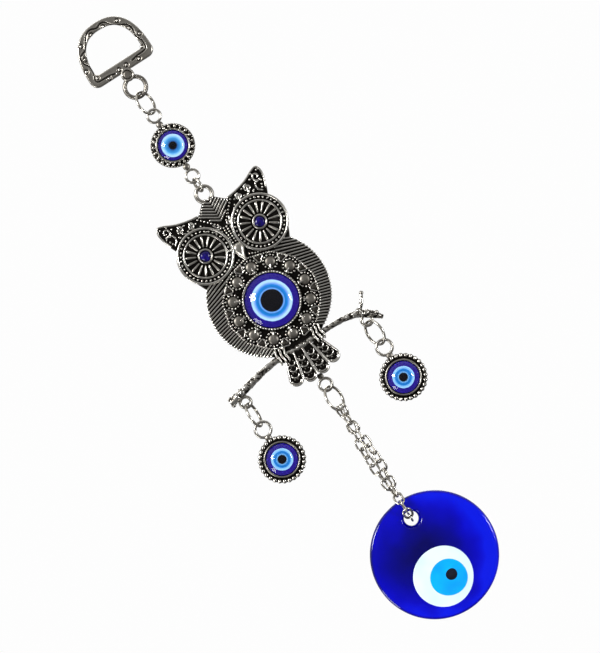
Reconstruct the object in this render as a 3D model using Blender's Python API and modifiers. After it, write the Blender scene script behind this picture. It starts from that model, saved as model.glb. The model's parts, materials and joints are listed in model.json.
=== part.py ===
"""Owl wall hanging with evil eyes: D hanger, eye connector, cast owl, eye charms, doubled chain, glass disc.

Metres, +Z up, front towards -Y, width along X. The origin is the top inside of the hanger's opening,
where a hook or a nail holds it, and everything hangs straight down from there.
"""
import math

import bmesh
import bpy
from mathutils import Matrix, Vector

MM = 0.001
GAP = 0.25 * MM             # clearance left between pieces that touch

# hanger
HANGER_HALF_WIDTH = 13.0 * MM
HANGER_TOP = 3.0 * MM
HANGER_BOTTOM = -17.6 * MM
HANGER_BAND = 3.3 * MM      # width of the band at the sides
HANGER_SILL = 4.1 * MM      # height of the bottom bar
HANGER_THICK = 2.2 * MM
HANGER_CORNER = 3.0 * MM
ARCH_FULLNESS = 0.8                # 1 is an ellipse, less has squarer shoulders
BOSS_R = 2.75 * MM
HANGER_LOOP_R = 3.8 * MM
HANGER_LOOP_WIRE = 0.8 * MM
HANGER_LOOP_DROP = 6.6 * MM  # sill's bottom edge to loop centre
BOSS_UP = -0.5 * MM         # boss centre from the sill's bottom edge
BOSS_PROUD = 0.35 * MM

# jump rings: mid-wire radius, wire radius
RING_WIRE = 0.5 * MM
TOP_RING_R = 4.45 * MM
OWL_RING_R = 2.6 * MM
CHARM_RING_R = 4.7 * MM
TAIL_RING_R = 4.7 * MM
RING_TURN = math.radians(34)       # turn of the rings from edge-on
LEFT_RING_TURN = math.radians(18)

# eye connector
LOOP_R = 2.35 * MM
LOOP_WIRE = 0.5 * MM
CONNECTOR_R = 8.0 * MM
CONNECTOR_UPPER = 12.5 * MM        # eye centre to upper loop centre
CONNECTOR_LOWER = 12.9 * MM
CONNECTOR_EYE_R = 5.6 * MM
CONNECTOR_CUP = (-1.5 * MM, 1.0 * MM, -0.3 * MM)   # depths of the rim, the back and the pocket's floor
CONNECTOR_DOME = 2.2 * MM
NECK_FRONT = -0.6 * MM             # necks between cups and loops
NECK_BACK = 0.65 * MM
NECK_WIDTH = 2.2 * MM
NECK_ROOT = 1.0 * MM               # how far a neck runs into its cup

# owl casting, measured from the belly eye's centre
OWL_LOOP_R = 2.9 * MM
OWL_LOOP_WIRE = 0.75 * MM
OWL_LOOP_UP = 45.0 * MM
PLATE_FRONT = -1.1 * MM
PLATE_BACK = 1.0 * MM
RELIEF_ROOT = 0.4 * MM             # depth that raised details reach into the plate
BODY_HALF_W = 22.4 * MM
BODY_HALF_H = 22.0 * MM
BODY_UP = 2.0 * MM
BODY_FLAT = 10.6 * MM              # half width of the straight bottom edge above the perch
EAR = ((21.6, 39.5), (22.0, 41.8), (20.6, 43.6), (18.6, 42.8), (14.5, 40.9))
BROW = ((9.5, 39.6), (6.4, 39.2), (2.6, 42.3))
WHEEL_X = 11.5 * MM
WHEEL_UP = 26.0 * MM
WHEEL_R = 10.3 * MM
WHEEL_FRONT = -1.7 * MM
WHEEL_HUB_R = 2.7 * MM
WHEEL_HUB_FRONT = -2.6 * MM
EYE_STONE_R = 1.9 * MM
EYE_STONE_SEAT = -1.8 * MM
EYE_STONE_FRONT = -3.1 * MM
BELLY_R = 10.0 * MM
BELLY_RIM = 0.9 * MM
BELLY_RIM_FRONT = -3.0 * MM
BELLY_SEAT = -1.3 * MM
BELLY_DOME = 3.6 * MM
GARLAND_R = 13.8 * MM              # circle of the twelve domes round the belly eye
GARLAND_DOME_R = 2.05 * MM
GARLAND_DOME_FRONT = -2.7 * MM
GARLAND_COUNT = 12
BEAK = (0.2 * MM, 21.6 * MM)
BEAK_R = 1.9 * MM
BEAK_TIP_R = 0.8 * MM
BEAK_FRONT = -3.2 * MM
FOOT_X = 7.7 * MM
FOOT_TOP = -16.2 * MM
FOOT_BOTTOM = -22.0 * MM
FOOT_WIDTH = 3.4 * MM
ANKLE = 1.1 * MM
FOOT_FRONT = -2.4 * MM
FOOT_BACK = -1.75 * MM             # the toes pass in front of the perch
TAIL_LOOP_DOWN = 35.7 * MM
TAIL_LOOP_R = 2.3 * MM
TAIL_LOOP_WIRE = 0.55 * MM
TAIL_NECK = 5.2 * MM
FEATHER_ROOT = -20.95              # just under the perch
FEATHER_FRONT = -1.45 * MM
FEATHER_BACK = 0.85 * MM
FEATHERS = ((-8.0, -28.8, 2.5), (-2.75, -29.8, 2.6), (2.75, -29.7, 2.6), (8.0, -28.4, 2.5))
FEATHER_SPLAY = 0.66               # root's x as a share of the tip's
FEATHER_TAPER = 0.8                # root's width as a share of the tip's

# perch: a bark-covered branch under the feet, thinner to the right, with its loops and a twig;
# x and z in millimetres from the belly eye's centre
PERCH_DEPTH = -0.1 * MM
PERCH_LEFT = ((-31.6, -23.2), (-29, -22.6), (-22, -20.6), (-14, -18.9), (-6, -19.3), (1, -19.25))
PERCH_RIGHT = ((-1, -19.25), (6, -19.2), (15, -19.1), (23, -20.5), (27.5, -23.6), (30.2, -26.2))
PERCH_TWIG = ((23.4, -20.8), (26.2, -18.2), (27.9, -15.2))
PERCH_LEFT_R = 1.35 * MM
PERCH_RIGHT_R = 1.15 * MM
PERCH_TWIG_R = 0.75 * MM
LEFT_LOOP = (-27.5 * MM, -25.6 * MM)
RIGHT_LOOP = (24.8 * MM, -24.2 * MM)
BRANCH_LOOP_R = 1.95 * MM
BRANCH_LOOP_WIRE = 0.6 * MM

# eye charms
CHARM_R = 8.9 * MM
CHARM_EYE_R = 6.0 * MM
CHARM_CUP = (-1.6 * MM, 1.1 * MM, -0.4 * MM)
CHARM_DOME = 2.6 * MM
CHARM_LOOP_R = 2.85 * MM
CHARM_LOOP_WIRE = 0.55 * MM
CHARM_LOOP_UP = 12.6 * MM          # eye centre to loop centre
CUP_DRAFT = 0.5 * MM               # how much narrower a cup is at its rim
PRINT_THICK = 0.3 * MM
DOME_CLEAR = 0.3 * MM              # dome and print to the pocket's wall
DOME_GIRDLE = 0.35 * MM

# chain: mid-wire length and width of a link
LINK_LENGTH = 4.45 * MM
LINK_WIDTH = 3.0 * MM
LINK_WIRE = 0.38 * MM
LINK_PITCH = LINK_LENGTH - 2 * LINK_WIRE - GAP
PAIR_COUNT = 11
STRAND_OFF = 1.5 * MM              # strand to the chain's middle line
TWIST_START = math.pi / 2 - RING_TURN
TWIST_END = 1.5 * math.pi
TWIST_STEP = (TWIST_END - TWIST_START) / PAIR_COUNT
LINK_LEAN_TOP = math.radians(70)   # turn of a link's plane from the line that joins the strands,
LINK_LEAN_STEP = math.radians(-4)  # which eases from pair to pair down the twist

# the links round the disc's edge, tilts from straight down
OUTWARD_TILT = math.radians(32.5)  # first link, out past the rim
STANDING_TILT = math.radians(8)    # second link, in front of the glass
INWARD_TILT = math.radians(38)     # third link, back into the hole

# glass disc
DISC_R = 23.1 * MM
DISC_HALF_THICK = 2.9 * MM
DISC_RIM_R = 1.3 * MM
DISC_RIM_HALF = 1.35 * MM          # half thickness where the faces meet the rim
HOLE_R = 2.6 * MM
HOLE_UP = 15.5 * MM
HOLE_LAND = 0.9 * MM               # half of the hole's straight part, between its flared mouths
HOLE_FLARE = 0.73                  # growth of the radius with depth in the mouths
WHITE_AT, WHITE_R = (-1.45 * MM, -8.06 * MM), 10.9 * MM
IRIS_AT, IRIS_R = (0.0, -9.3 * MM), 6.7 * MM
PUPIL_AT, PUPIL_R = (1.4 * MM, -8.9 * MM), 2.1 * MM
INLAY_DEPTH = -1.55 * MM           # floor of the white's pocket in the disc
INLAY_FLOOR = 0.3 * MM             # what each inlay has left under the next
WHITE_THICK = 1.0 * MM
IRIS_THICK = 0.8 * MM
PUPIL_THICK = 0.6 * MM

# heights, worked down the chain of pieces
HANGER_LOOP_Z = HANGER_BOTTOM - HANGER_LOOP_DROP
TOP_RING_Z = HANGER_LOOP_Z - HANGER_LOOP_R + HANGER_LOOP_WIRE + RING_WIRE + GAP - TOP_RING_R
UPPER_LOOP_Z = TOP_RING_Z - TOP_RING_R + RING_WIRE + LOOP_WIRE + GAP - LOOP_R
CONNECTOR_Z = UPPER_LOOP_Z - CONNECTOR_UPPER
LOWER_LOOP_Z = CONNECTOR_Z - CONNECTOR_LOWER
OWL_RING_Z = LOWER_LOOP_Z - LOOP_R + LOOP_WIRE + RING_WIRE + GAP - OWL_RING_R
OWL_LOOP_Z = OWL_RING_Z - OWL_RING_R + RING_WIRE + OWL_LOOP_WIRE + GAP - OWL_LOOP_R
BELLY_Z = OWL_LOOP_Z - OWL_LOOP_UP
TAIL_LOOP_Z = BELLY_Z - TAIL_LOOP_DOWN
TAIL_RING_Z = TAIL_LOOP_Z - TAIL_LOOP_R + TAIL_LOOP_WIRE + RING_WIRE + GAP - TAIL_RING_R
RING_RISE = TAIL_RING_R - math.sqrt(TAIL_RING_R ** 2 - STRAND_OFF ** 2)
CHAIN_TOP_Z = TAIL_RING_Z - TAIL_RING_R + RING_RISE + RING_WIRE + GAP
PAIR_DROP = math.sqrt(LINK_PITCH ** 2 - (2 * STRAND_OFF * math.sin(TWIST_STEP / 2)) ** 2)
BIGHT_Z = CHAIN_TOP_Z - PAIR_COUNT * PAIR_DROP


def clear_scene():
    for obj in list(bpy.data.objects):
        bpy.data.objects.remove(obj, do_unlink=True)


def collection(name):
    made = bpy.data.collections.new(name)
    bpy.context.scene.collection.children.link(made)
    return made


clear_scene()
PARTS = collection("evil_eye_ornament")
CUTTERS = collection("cutters")


def material(name, colour, roughness, metallic=0.0):
    made = bpy.data.materials.new(name)
    made.use_nodes = True
    shader = made.node_tree.nodes["Principled BSDF"]
    shader.inputs["Base Color"].default_value = (*colour, 1.0)
    shader.inputs["Roughness"].default_value = roughness
    shader.inputs["Metallic"].default_value = metallic
    return made


PEWTER = material("antique_pewter", (0.22, 0.20, 0.17), 0.35, 1.0)
NICKEL = material("nickel_wire", (0.42, 0.40, 0.36), 0.25, 1.0)
PRINT = material("eye_print", (0.02, 0.05, 0.30), 0.4)
CRYSTAL = material("clear_glass", (0.75, 0.80, 0.90), 0.05)
STONE = material("blue_stone", (0.01, 0.01, 0.16), 0.15)
COBALT = material("cobalt_glass", (0.0, 0.0, 0.45), 0.06)
WHITE_GLASS = material("white_glass", (0.75, 0.88, 1.0), 0.08)
CYAN_GLASS = material("cyan_glass", (0.0, 0.38, 0.90), 0.08)
BLACK_GLASS = material("black_glass", (0.01, 0.01, 0.02), 0.08)


def finish(obj, name, mat, smooth=35):
    """Names a piece, gives it its material and shades it."""
    obj.name = name
    obj.data.name = name
    obj.data.materials.clear()
    obj.data.materials.append(mat)
    obj.data.shade_smooth()
    obj.data.set_sharp_from_angle(angle=math.radians(smooth))
    return obj


def from_bmesh(name, bm, matrix=None):
    mesh = bpy.data.meshes.new(name)
    if matrix is not None:
        bmesh.ops.transform(bm, matrix=matrix, verts=bm.verts)
    bm.to_mesh(mesh)
    bm.free()
    obj = bpy.data.objects.new(name, mesh)
    PARTS.objects.link(obj)
    return obj


def as_mesh(obj):
    """Swaps an object for its evaluated mesh, with the caps of a curve welded."""
    bpy.context.view_layer.update()
    graph = bpy.context.evaluated_depsgraph_get()
    mesh = bpy.data.meshes.new_from_object(obj.evaluated_get(graph))
    if obj.type == "CURVE":
        bm = bmesh.new()
        bm.from_mesh(mesh)
        bmesh.ops.remove_doubles(bm, verts=bm.verts, dist=1e-6)
        bmesh.ops.recalc_face_normals(bm, faces=bm.faces)
        bm.to_mesh(mesh)
        bm.free()
    made = bpy.data.objects.new(obj.name + "_mesh", mesh)
    made.matrix_world = obj.matrix_world.copy()
    PARTS.objects.link(made)
    bpy.data.objects.remove(obj, do_unlink=True)
    return made


def fuse(pieces):
    """Joins overlapping closed meshes into one body."""
    base = pieces[0]
    for other in pieces[1:]:
        join = base.modifiers.new("join", "BOOLEAN")
        join.operation = "UNION"
        join.solver = "EXACT"
        join.object = other
        base = as_mesh(base)
        bpy.data.objects.remove(other, do_unlink=True)
    return base


def cut(obj, cutter):
    """Takes the cutter's shape out of a piece with a live Boolean."""
    for holder in list(cutter.users_collection):
        holder.objects.unlink(cutter)
    CUTTERS.objects.link(cutter)
    cutter.hide_render = True
    cutter.display_type = "WIRE"
    taken = obj.modifiers.new("cut", "BOOLEAN")
    taken.operation = "DIFFERENCE"
    taken.solver = "EXACT"
    taken.object = cutter


def flat_matrix(x, z, y=0.0):
    """Carries a shape drawn in XY with its axis on Z to the XZ plane, its +Z side facing the front."""
    return Matrix.Translation((x, y, z)) @ Matrix.Rotation(math.pi / 2, 4, "X")


def drum(x, z, radius, front, back, sides=32, top_radius=None):
    """A round block between two depths, front to back, optionally tapered towards the front."""
    bm = bmesh.new()
    bmesh.ops.create_cone(
        bm, cap_ends=True, segments=sides, radius1=radius,
        radius2=radius if top_radius is None else top_radius, depth=back - front,
    )
    return from_bmesh("drum", bm, flat_matrix(x, z, (front + back) / 2))


def block(x, z, width, height, front, back):
    bm = bmesh.new()
    bmesh.ops.create_cube(bm, size=1.0)
    size = Matrix.Diagonal((width, back - front, height, 1.0))
    return from_bmesh("block", bm, Matrix.Translation((x, (front + back) / 2, z)) @ size)


def spline_curve(points, closed, bevel, name="wire"):
    """A round wire along points in space."""
    data = bpy.data.curves.new(name, "CURVE")
    data.dimensions = "3D"
    data.bevel_depth = bevel
    data.bevel_resolution = 2
    data.use_fill_caps = not closed
    data.twist_mode = "MINIMUM"
    spline = data.splines.new("POLY")
    spline.points.add(len(points) - 1)
    for point, co in zip(spline.points, points):
        point.co = (*co, 1.0)
    spline.use_cyclic_u = closed
    obj = bpy.data.objects.new(name, data)
    PARTS.objects.link(obj)
    return obj


def hoop(centre, radius, wire, turn, steps=20):
    """A wire ring in a vertical plane, turned about Z from edge-on to the front."""
    side = Vector((math.sin(turn), math.cos(turn), 0.0))
    points = []
    for n in range(steps):
        a = 2 * math.pi * n / steps
        points.append(Vector(centre) + side * radius * math.cos(a) + Vector((0, 0, radius * math.sin(a))))
    return spline_curve(points, True, wire)


def face_hoop(x, z, radius, wire, steps=16, y=0.0):
    """A cast loop that faces the front."""
    return as_mesh(hoop((x, y, z), radius, wire, math.pi / 2, steps))


def plate(outlines, front, back):
    """A flat plate with its outlines drawn in X and Z; later outlines are openings."""
    data = bpy.data.curves.new("plate", "CURVE")
    data.dimensions = "2D"
    data.fill_mode = "BOTH"
    data.extrude = (back - front) / 2
    for outline in outlines:
        spline = data.splines.new("POLY")
        spline.points.add(len(outline) - 1)
        for point, (x, z) in zip(spline.points, outline):
            point.co = (x, z, 0.0, 1.0)
        spline.use_cyclic_u = True
    obj = bpy.data.objects.new("plate", data)
    PARTS.objects.link(obj)
    obj.matrix_world = flat_matrix(0.0, 0.0, (front + back) / 2)
    return as_mesh(obj)


def arc(x, z, rx, rz, start, end, steps):
    """Points of an elliptical arc between two angles in degrees."""
    out = []
    for n in range(steps + 1):
        a = math.radians(start + (end - start) * n / steps)
        out.append((x + rx * math.cos(a), z + rz * math.sin(a)))
    return out


def d_outline(half, top, bottom, corner, steps):
    """A letter D lying on its straight side: flat sill, full-shouldered arch."""
    spring = bottom + corner
    points = arc(-half + corner, spring, corner, corner, 180, 270, 3)
    points += arc(half - corner, spring, corner, corner, 270, 360, 3)
    for x, z in arc(0.0, 0.0, 1.0, 1.0, 0, 180, steps)[1:-1]:
        across = math.copysign(abs(x) ** ARCH_FULLNESS, x)
        points.append((half * across, spring + (top - spring) * z ** ARCH_FULLNESS))
    return points


def make_hanger():
    outer = d_outline(HANGER_HALF_WIDTH, HANGER_TOP, HANGER_BOTTOM, HANGER_CORNER, 20)
    inner = d_outline(HANGER_HALF_WIDTH - HANGER_BAND, 0.0, HANGER_BOTTOM + HANGER_SILL, 0.8 * MM, 20)
    half = HANGER_THICK / 2
    frame = plate([outer, inner], -half, half)
    boss = drum(0.0, HANGER_BOTTOM + BOSS_UP, BOSS_R, -half - BOSS_PROUD, half - RING_WIRE / 2, 20)
    loop = face_hoop(0.0, HANGER_LOOP_Z, HANGER_LOOP_R, HANGER_LOOP_WIRE, 18)
    return finish(fuse([frame, boss, loop]), "hanger_frame", PEWTER)


def make_dome(name, x, z, radius, height, back):
    """A clear cabochon: flat underneath, a low straight girdle, then a spherical cap."""
    girdle = DOME_GIRDLE
    steps = 5
    cap = (radius ** 2 + height ** 2) / (2 * height)
    rise = math.asin(radius / cap)
    profile = [(0.0, girdle + height)]
    for n in range(1, steps + 1):
        a = rise * n / steps
        profile.append((cap * math.sin(a), girdle + height - cap * (1 - math.cos(a))))
    profile += [(radius, 0.0), (0.0, 0.0)]
    return turned(name, profile, x, z, back, 24, CRYSTAL)


def turned(name, profile, x, z, back, steps, mat):
    """A piece turned about the front-back line through (x, z). The profile runs down its outer side."""
    mesh = bpy.data.meshes.new(name)
    edges = [(n, n + 1) for n in range(len(profile) - 1)]
    mesh.from_pydata([(r, 0.0, h) for r, h in profile], edges, [])
    obj = bpy.data.objects.new(name, mesh)
    PARTS.objects.link(obj)
    obj.matrix_world = flat_matrix(x, z, back)
    screw = obj.modifiers.new("turn", "SCREW")
    screw.axis = "Z"
    screw.steps = steps
    screw.render_steps = steps
    screw.use_merge_vertices = True
    screw.merge_threshold = 0.00001
    return finish(as_mesh(obj), name, mat)


def make_eye(prefix, x, z, radius, height, seat):
    """A printed disc and the glass dome over it, laid in a setting whose floor is at depth seat."""
    paper = drum(x, z, radius - DOME_CLEAR, seat - GAP - PRINT_THICK, seat - GAP, 32)
    paper = finish(paper, prefix + "_eye_print", PRINT)
    dome = make_dome(prefix + "_dome", x, z, radius - DOME_CLEAR, height, seat - 2 * GAP - PRINT_THICK)
    return [paper, dome]


def make_setting(x, z, outer, eye, cup):
    """A round cup for an eye, and the cutter for its pocket."""
    front, back, seat = cup
    body = drum(x, z, outer, front, back, 28, outer - CUP_DRAFT)
    return body, drum(x, z, eye, front - 1 * MM, seat, 28)


def make_neck(x, z, way, outer, reach):
    """The strap between a cup and its loop, up or down from the eye's centre."""
    low = outer - NECK_ROOT
    middle = z + way * (low + reach) / 2
    return block(x, middle, NECK_WIDTH, reach - low, NECK_FRONT, NECK_BACK)


def make_connector():
    z = CONNECTOR_Z
    cup, pocket = make_setting(0.0, z, CONNECTOR_R, CONNECTOR_EYE_R, CONNECTOR_CUP)
    upper = face_hoop(0.0, UPPER_LOOP_Z, LOOP_R, LOOP_WIRE)
    lower = face_hoop(0.0, LOWER_LOOP_Z, LOOP_R, LOOP_WIRE)
    above = make_neck(0.0, z, 1, CONNECTOR_R, CONNECTOR_UPPER - LOOP_R)
    below = make_neck(0.0, z, -1, CONNECTOR_R, CONNECTOR_LOWER - LOOP_R)
    body = finish(fuse([cup, above, below, upper, lower]), "connector_setting", PEWTER)
    cut(body, pocket)
    return [body, *make_eye("connector", 0.0, z, CONNECTOR_EYE_R, CONNECTOR_DOME, CONNECTOR_CUP[2])]


def make_charm(side, x, ring_z):
    """A beaded eye charm that hangs on its jump ring."""
    loop_z = ring_z - CHARM_RING_R + RING_WIRE + CHARM_LOOP_WIRE + GAP - CHARM_LOOP_R
    z = loop_z - CHARM_LOOP_UP
    cup, pocket = make_setting(x, z, CHARM_R, CHARM_EYE_R, CHARM_CUP)
    neck = make_neck(x, z, 1, CHARM_R, CHARM_LOOP_UP - CHARM_LOOP_R)
    loop = face_hoop(x, loop_z, CHARM_LOOP_R, CHARM_LOOP_WIRE)
    body = finish(fuse([cup, neck, loop]), side + "_charm_setting", PEWTER)
    cut(body, pocket)
    return [body, *make_eye(side + "_charm", x, z, CHARM_EYE_R, CHARM_DOME, CHARM_CUP[2])]


def owl_outline():
    """Body ellipse, brow and ears as one silhouette, right half mirrored to the left."""
    foot = -math.degrees(math.acos(BODY_FLAT / BODY_HALF_W))
    cheek = 38.0
    right = arc(0.0, BODY_UP, BODY_HALF_W, BODY_HALF_H, foot, cheek, 12)
    right += arc(WHEEL_X, WHEEL_UP, WHEEL_R - 0.5 * MM, WHEEL_R - 0.5 * MM, -28, 40, 6)
    right += [(x * MM, z * MM) for x, z in EAR + BROW]
    left = [(-x, z) for x, z in reversed(right)]
    return [(x, z + BELLY_Z) for x, z in right + left]


def branch(points, wide):
    """A piece of bark-covered twig along points given in (x, z) millimetres from the belly eye."""
    path = [(x * MM, PERCH_DEPTH, BELLY_Z + z * MM) for x, z in points]
    return as_mesh(spline_curve(path, False, wide))


def make_owl():
    """The owl's body and head with its raised details, its belly eye and its two eye stones."""
    pieces = [plate([owl_outline()], PLATE_FRONT, PLATE_BACK)]
    root = RELIEF_ROOT
    for side in (-1, 1):
        x, z = side * WHEEL_X, BELLY_Z + WHEEL_UP
        pieces.append(drum(x, z, WHEEL_R, WHEEL_FRONT, root, 30, WHEEL_R - CUP_DRAFT / 2))
        pieces.append(drum(x, z, WHEEL_HUB_R, WHEEL_HUB_FRONT, root / 2, 18))
        x, toes = side * FOOT_X, BELLY_Z + (FOOT_TOP + FOOT_BOTTOM) / 2
        ankle = BELLY_Z + FOOT_TOP - ANKLE / 2 - GAP / 5
        pieces.append(block(x, toes, FOOT_WIDTH, FOOT_TOP - FOOT_BOTTOM, FOOT_FRONT, FOOT_BACK))
        pieces.append(block(x, ankle, FOOT_WIDTH - 2 * GAP, ANKLE, FOOT_BACK - GAP, root))
    rim = BELLY_R + BELLY_RIM
    pieces.append(drum(0.0, BELLY_Z, rim, BELLY_RIM_FRONT, 0.9 * root, 40, rim - CUP_DRAFT / 3))
    for n in range(GARLAND_COUNT):
        a = math.radians(90 + 360 / GARLAND_COUNT * n)
        x, z = GARLAND_R * math.cos(a), BELLY_Z + GARLAND_R * math.sin(a)
        pieces.append(drum(x, z, GARLAND_DOME_R, GARLAND_DOME_FRONT, 0.6 * root, 8, GARLAND_DOME_R / 2))
    pieces.append(drum(BEAK[0], BELLY_Z + BEAK[1], BEAK_R, BEAK_FRONT, 0.3 * root, 12, BEAK_TIP_R))
    pieces.append(face_hoop(0.0, OWL_LOOP_Z, OWL_LOOP_R, OWL_LOOP_WIRE, 16))
    owl = finish(fuse(pieces), "owl_casting", PEWTER)
    cut(owl, drum(0.0, BELLY_Z, BELLY_R, -6.0 * MM, BELLY_SEAT, 40))
    made = [owl, *make_eye("belly", 0.0, BELLY_Z, BELLY_R, BELLY_DOME, BELLY_SEAT)]
    for side, name in ((-1, "left"), (1, "right")):
        x, z = side * WHEEL_X, BELLY_Z + WHEEL_UP
        cut(owl, drum(x, z, EYE_STONE_R + GAP, -4.0 * MM, EYE_STONE_SEAT, 18))
        stone = drum(x, z, EYE_STONE_R, EYE_STONE_FRONT, EYE_STONE_SEAT - GAP, 18, EYE_STONE_R / 2)
        made.append(finish(stone, name + "_eye_stone", STONE))
    return made


def make_perch():
    """The branch under the owl's feet, with the loops for the charms' rings."""
    pieces = [branch(PERCH_LEFT, PERCH_LEFT_R), branch(PERCH_RIGHT, PERCH_RIGHT_R)]
    pieces.append(branch(PERCH_TWIG, PERCH_TWIG_R))
    for x, z in (LEFT_LOOP, RIGHT_LOOP):
        pieces.append(face_hoop(x, BELLY_Z + z, BRANCH_LOOP_R, BRANCH_LOOP_WIRE, 12))
    return finish(fuse(pieces), "perch_branch", PEWTER)


def make_tail():
    """Four tail feathers with the loop that carries the chain's ring."""
    pieces = []
    for x, z, half in FEATHERS:
        step = 0.004 * x * MM                      # keeps overlapping faces apart
        start = (x * FEATHER_SPLAY, FEATHER_ROOT)
        pieces.append(feather(start, (x, z), half * MM, FEATHER_FRONT + step, FEATHER_BACK + step))
    neck_z = TAIL_LOOP_Z + TAIL_LOOP_R + TAIL_NECK / 2 - TAIL_LOOP_WIRE / 2
    pieces.append(block(0.0, neck_z, NECK_WIDTH, TAIL_NECK, NECK_FRONT, NECK_BACK))
    pieces.append(face_hoop(0.0, TAIL_LOOP_Z, TAIL_LOOP_R, TAIL_LOOP_WIRE, 14))
    return finish(fuse(pieces), "tail_feathers", PEWTER)


def feather(root, tip, half, front, back):
    """A tail feather: a flat tongue from root to a round tip, given in millimetres."""
    away = Vector((tip[0] - root[0], tip[1] - root[1])).normalized()
    heading = math.degrees(math.atan2(away.y, away.x))
    end = [(x, z) for x, z in arc(tip[0] * MM, tip[1] * MM, half, half, heading - 90, heading + 90, 8)]
    start = [(root[0] * MM + way * half * FEATHER_TAPER, root[1] * MM) for way in (1, -1)]
    outline = [(x, z + BELLY_Z) for x, z in end + start]
    return plate([outline], front, back)


def stadium(length, width, ends=5):
    """Points of a link's oval in its own plane: across, along."""
    r = width / 2
    straight = (length - width) / 2
    points = arc(0.0, straight, r, r, 0, 180, ends)
    points += arc(0.0, -straight, r, r, 180, 360, ends)
    return points


def make_link(name, top, bottom, across):
    """A chain link on the line through two points, which lie evenly about its middle."""
    up = (top - bottom).normalized()
    wide = (across - up * across.dot(up)).normalized()
    middle = (top + bottom) / 2
    points = [middle + wide * a + up * b for a, b in stadium(LINK_LENGTH, LINK_WIDTH)]
    obj = spline_curve(points, True, LINK_WIRE, name)
    return finish(as_mesh(obj), name, NICKEL)


def crossing(strand, level):
    """Where two neighbouring links of a strand cross, level steps down the twist."""
    a = TWIST_START + TWIST_STEP * level + math.pi * strand
    return Vector((STRAND_OFF * math.cos(a), STRAND_OFF * math.sin(a), CHAIN_TOP_Z - PAIR_DROP * level))


def plane_direction(angle):
    return Vector((math.cos(angle), math.sin(angle), 0.0))


def link_lean(k):
    """Angle of the plane of pair k's links, from X."""
    joining = TWIST_START + TWIST_STEP * (k + 0.5)
    return joining + LINK_LEAN_TOP + LINK_LEAN_STEP * k + math.pi / 2 * k


def down_direction(tilt):
    """Straight down, tilted out to the front by an angle."""
    return Vector((0.0, -math.sin(tilt), -math.cos(tilt)))


def bight_route():
    """The front strand's three links past the disc's edge, each by its two end wires."""
    pull = 2 * LINK_WIRE + GAP                     # between the wires of two linked links
    start = Vector((0.0, -STRAND_OFF, BIGHT_Z))
    first_down = down_direction(OUTWARD_TILT)
    first = (start - first_down * pull / 2, start + first_down * (LINK_LENGTH - pull / 2))
    second_down = down_direction(STANDING_TILT)
    second_top = first[1] - second_down * pull
    second = (second_top, second_top + second_down * LINK_LENGTH)
    third_down = down_direction(-INWARD_TILT)
    third_top = second[1] - second_down * pull
    third = (third_top, third_top + third_down * LINK_LENGTH)
    return first, second, third


def make_chain():
    pairs = []
    for k in range(PAIR_COUNT):
        across = plane_direction(link_lean(k))
        pair = []
        for strand, letter in ((0, "a"), (1, "b")):
            name = f"chain_link_{letter}_{k + 1:02d}"
            pair.append(make_link(name, crossing(strand, k), crossing(strand, k + 1), across))
        pairs.append(pair)
    last = link_lean(PAIR_COUNT - 1)
    # the next three planes turn evenly until the link next to the hole lies flat
    turn = (math.pi * math.ceil(last / math.pi + 1) - last) / 3
    route = bight_route()
    half_turn = Matrix.Rotation(math.pi, 3, "Z")
    bight = []
    for n, (top, bottom) in enumerate(route):
        across = plane_direction(last + turn * (n + 1))
        bight.append(make_link(f"bight_link_front_{n + 1}", top, bottom, across))
        behind = [half_turn @ v for v in (top, bottom, across)]
        bight.append(make_link(f"bight_link_back_{n + 1}", *behind))
    hole_z = route[-1][1].z
    end = Vector((0.0, LINK_LENGTH / 2, hole_z))
    bight.append(make_link("bight_link_hole", end, Vector((0.0, -end.y, hole_z)), Vector((0.0, 0.0, 1.0))))
    return pairs, bight, hole_z + LINK_WIDTH / 2 + LINK_WIRE + GAP - HOLE_R


def make_glass(hole_z):
    """The glass disc with its hole, and the white, iris and pupil let into its front."""
    z = hole_z - HOLE_UP
    edge = DISC_R - DISC_RIM_R
    rim = DISC_RIM_HALF
    steps = 5
    front = []
    for n in range(steps + 1):
        r = edge * n / steps
        front.append((r, rim + (DISC_HALF_THICK - rim) * (1 - (r / edge) ** 2) ** 0.8))
    rim_arc = []
    for n in range(1, 4):
        a = math.pi / 2 - math.pi * n / 4
        rim_arc.append((edge + DISC_RIM_R * math.cos(a), rim * math.sin(a)))
    profile = front + rim_arc + [(r, -h) for r, h in reversed(front)]
    disc = turned("glass_disc", profile, 0.0, z, 0.0, 44, COBALT)
    proud = DISC_HALF_THICK + 1 * MM
    bore = [(0.0, proud), (HOLE_R + (proud - HOLE_LAND) * HOLE_FLARE, proud), (HOLE_R, HOLE_LAND)]
    bore += [(r, -h) for r, h in reversed(bore)]
    cut(disc, turned("hole_cutter", bore, 0.0, hole_z, 0.0, 20, COBALT))
    made = [disc]
    floor = INLAY_DEPTH
    inlays = (
        ("glass_white", WHITE_AT, WHITE_R, WHITE_THICK, 30, WHITE_GLASS),
        ("glass_iris", IRIS_AT, IRIS_R, IRIS_THICK, 24, CYAN_GLASS),
        ("glass_pupil", PUPIL_AT, PUPIL_R, PUPIL_THICK, 16, BLACK_GLASS),
    )
    for name, at, radius, thick, sides, glass in inlays:
        x, up = at[0], z + at[1]
        cut(made[-1], drum(x, up, radius + GAP, -6 * MM, floor, sides))
        inlay = drum(x, up, radius, floor - GAP - thick, floor - GAP, sides)
        made.append(finish(inlay, name, glass))
        floor -= GAP + INLAY_FLOOR
    return made


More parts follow.
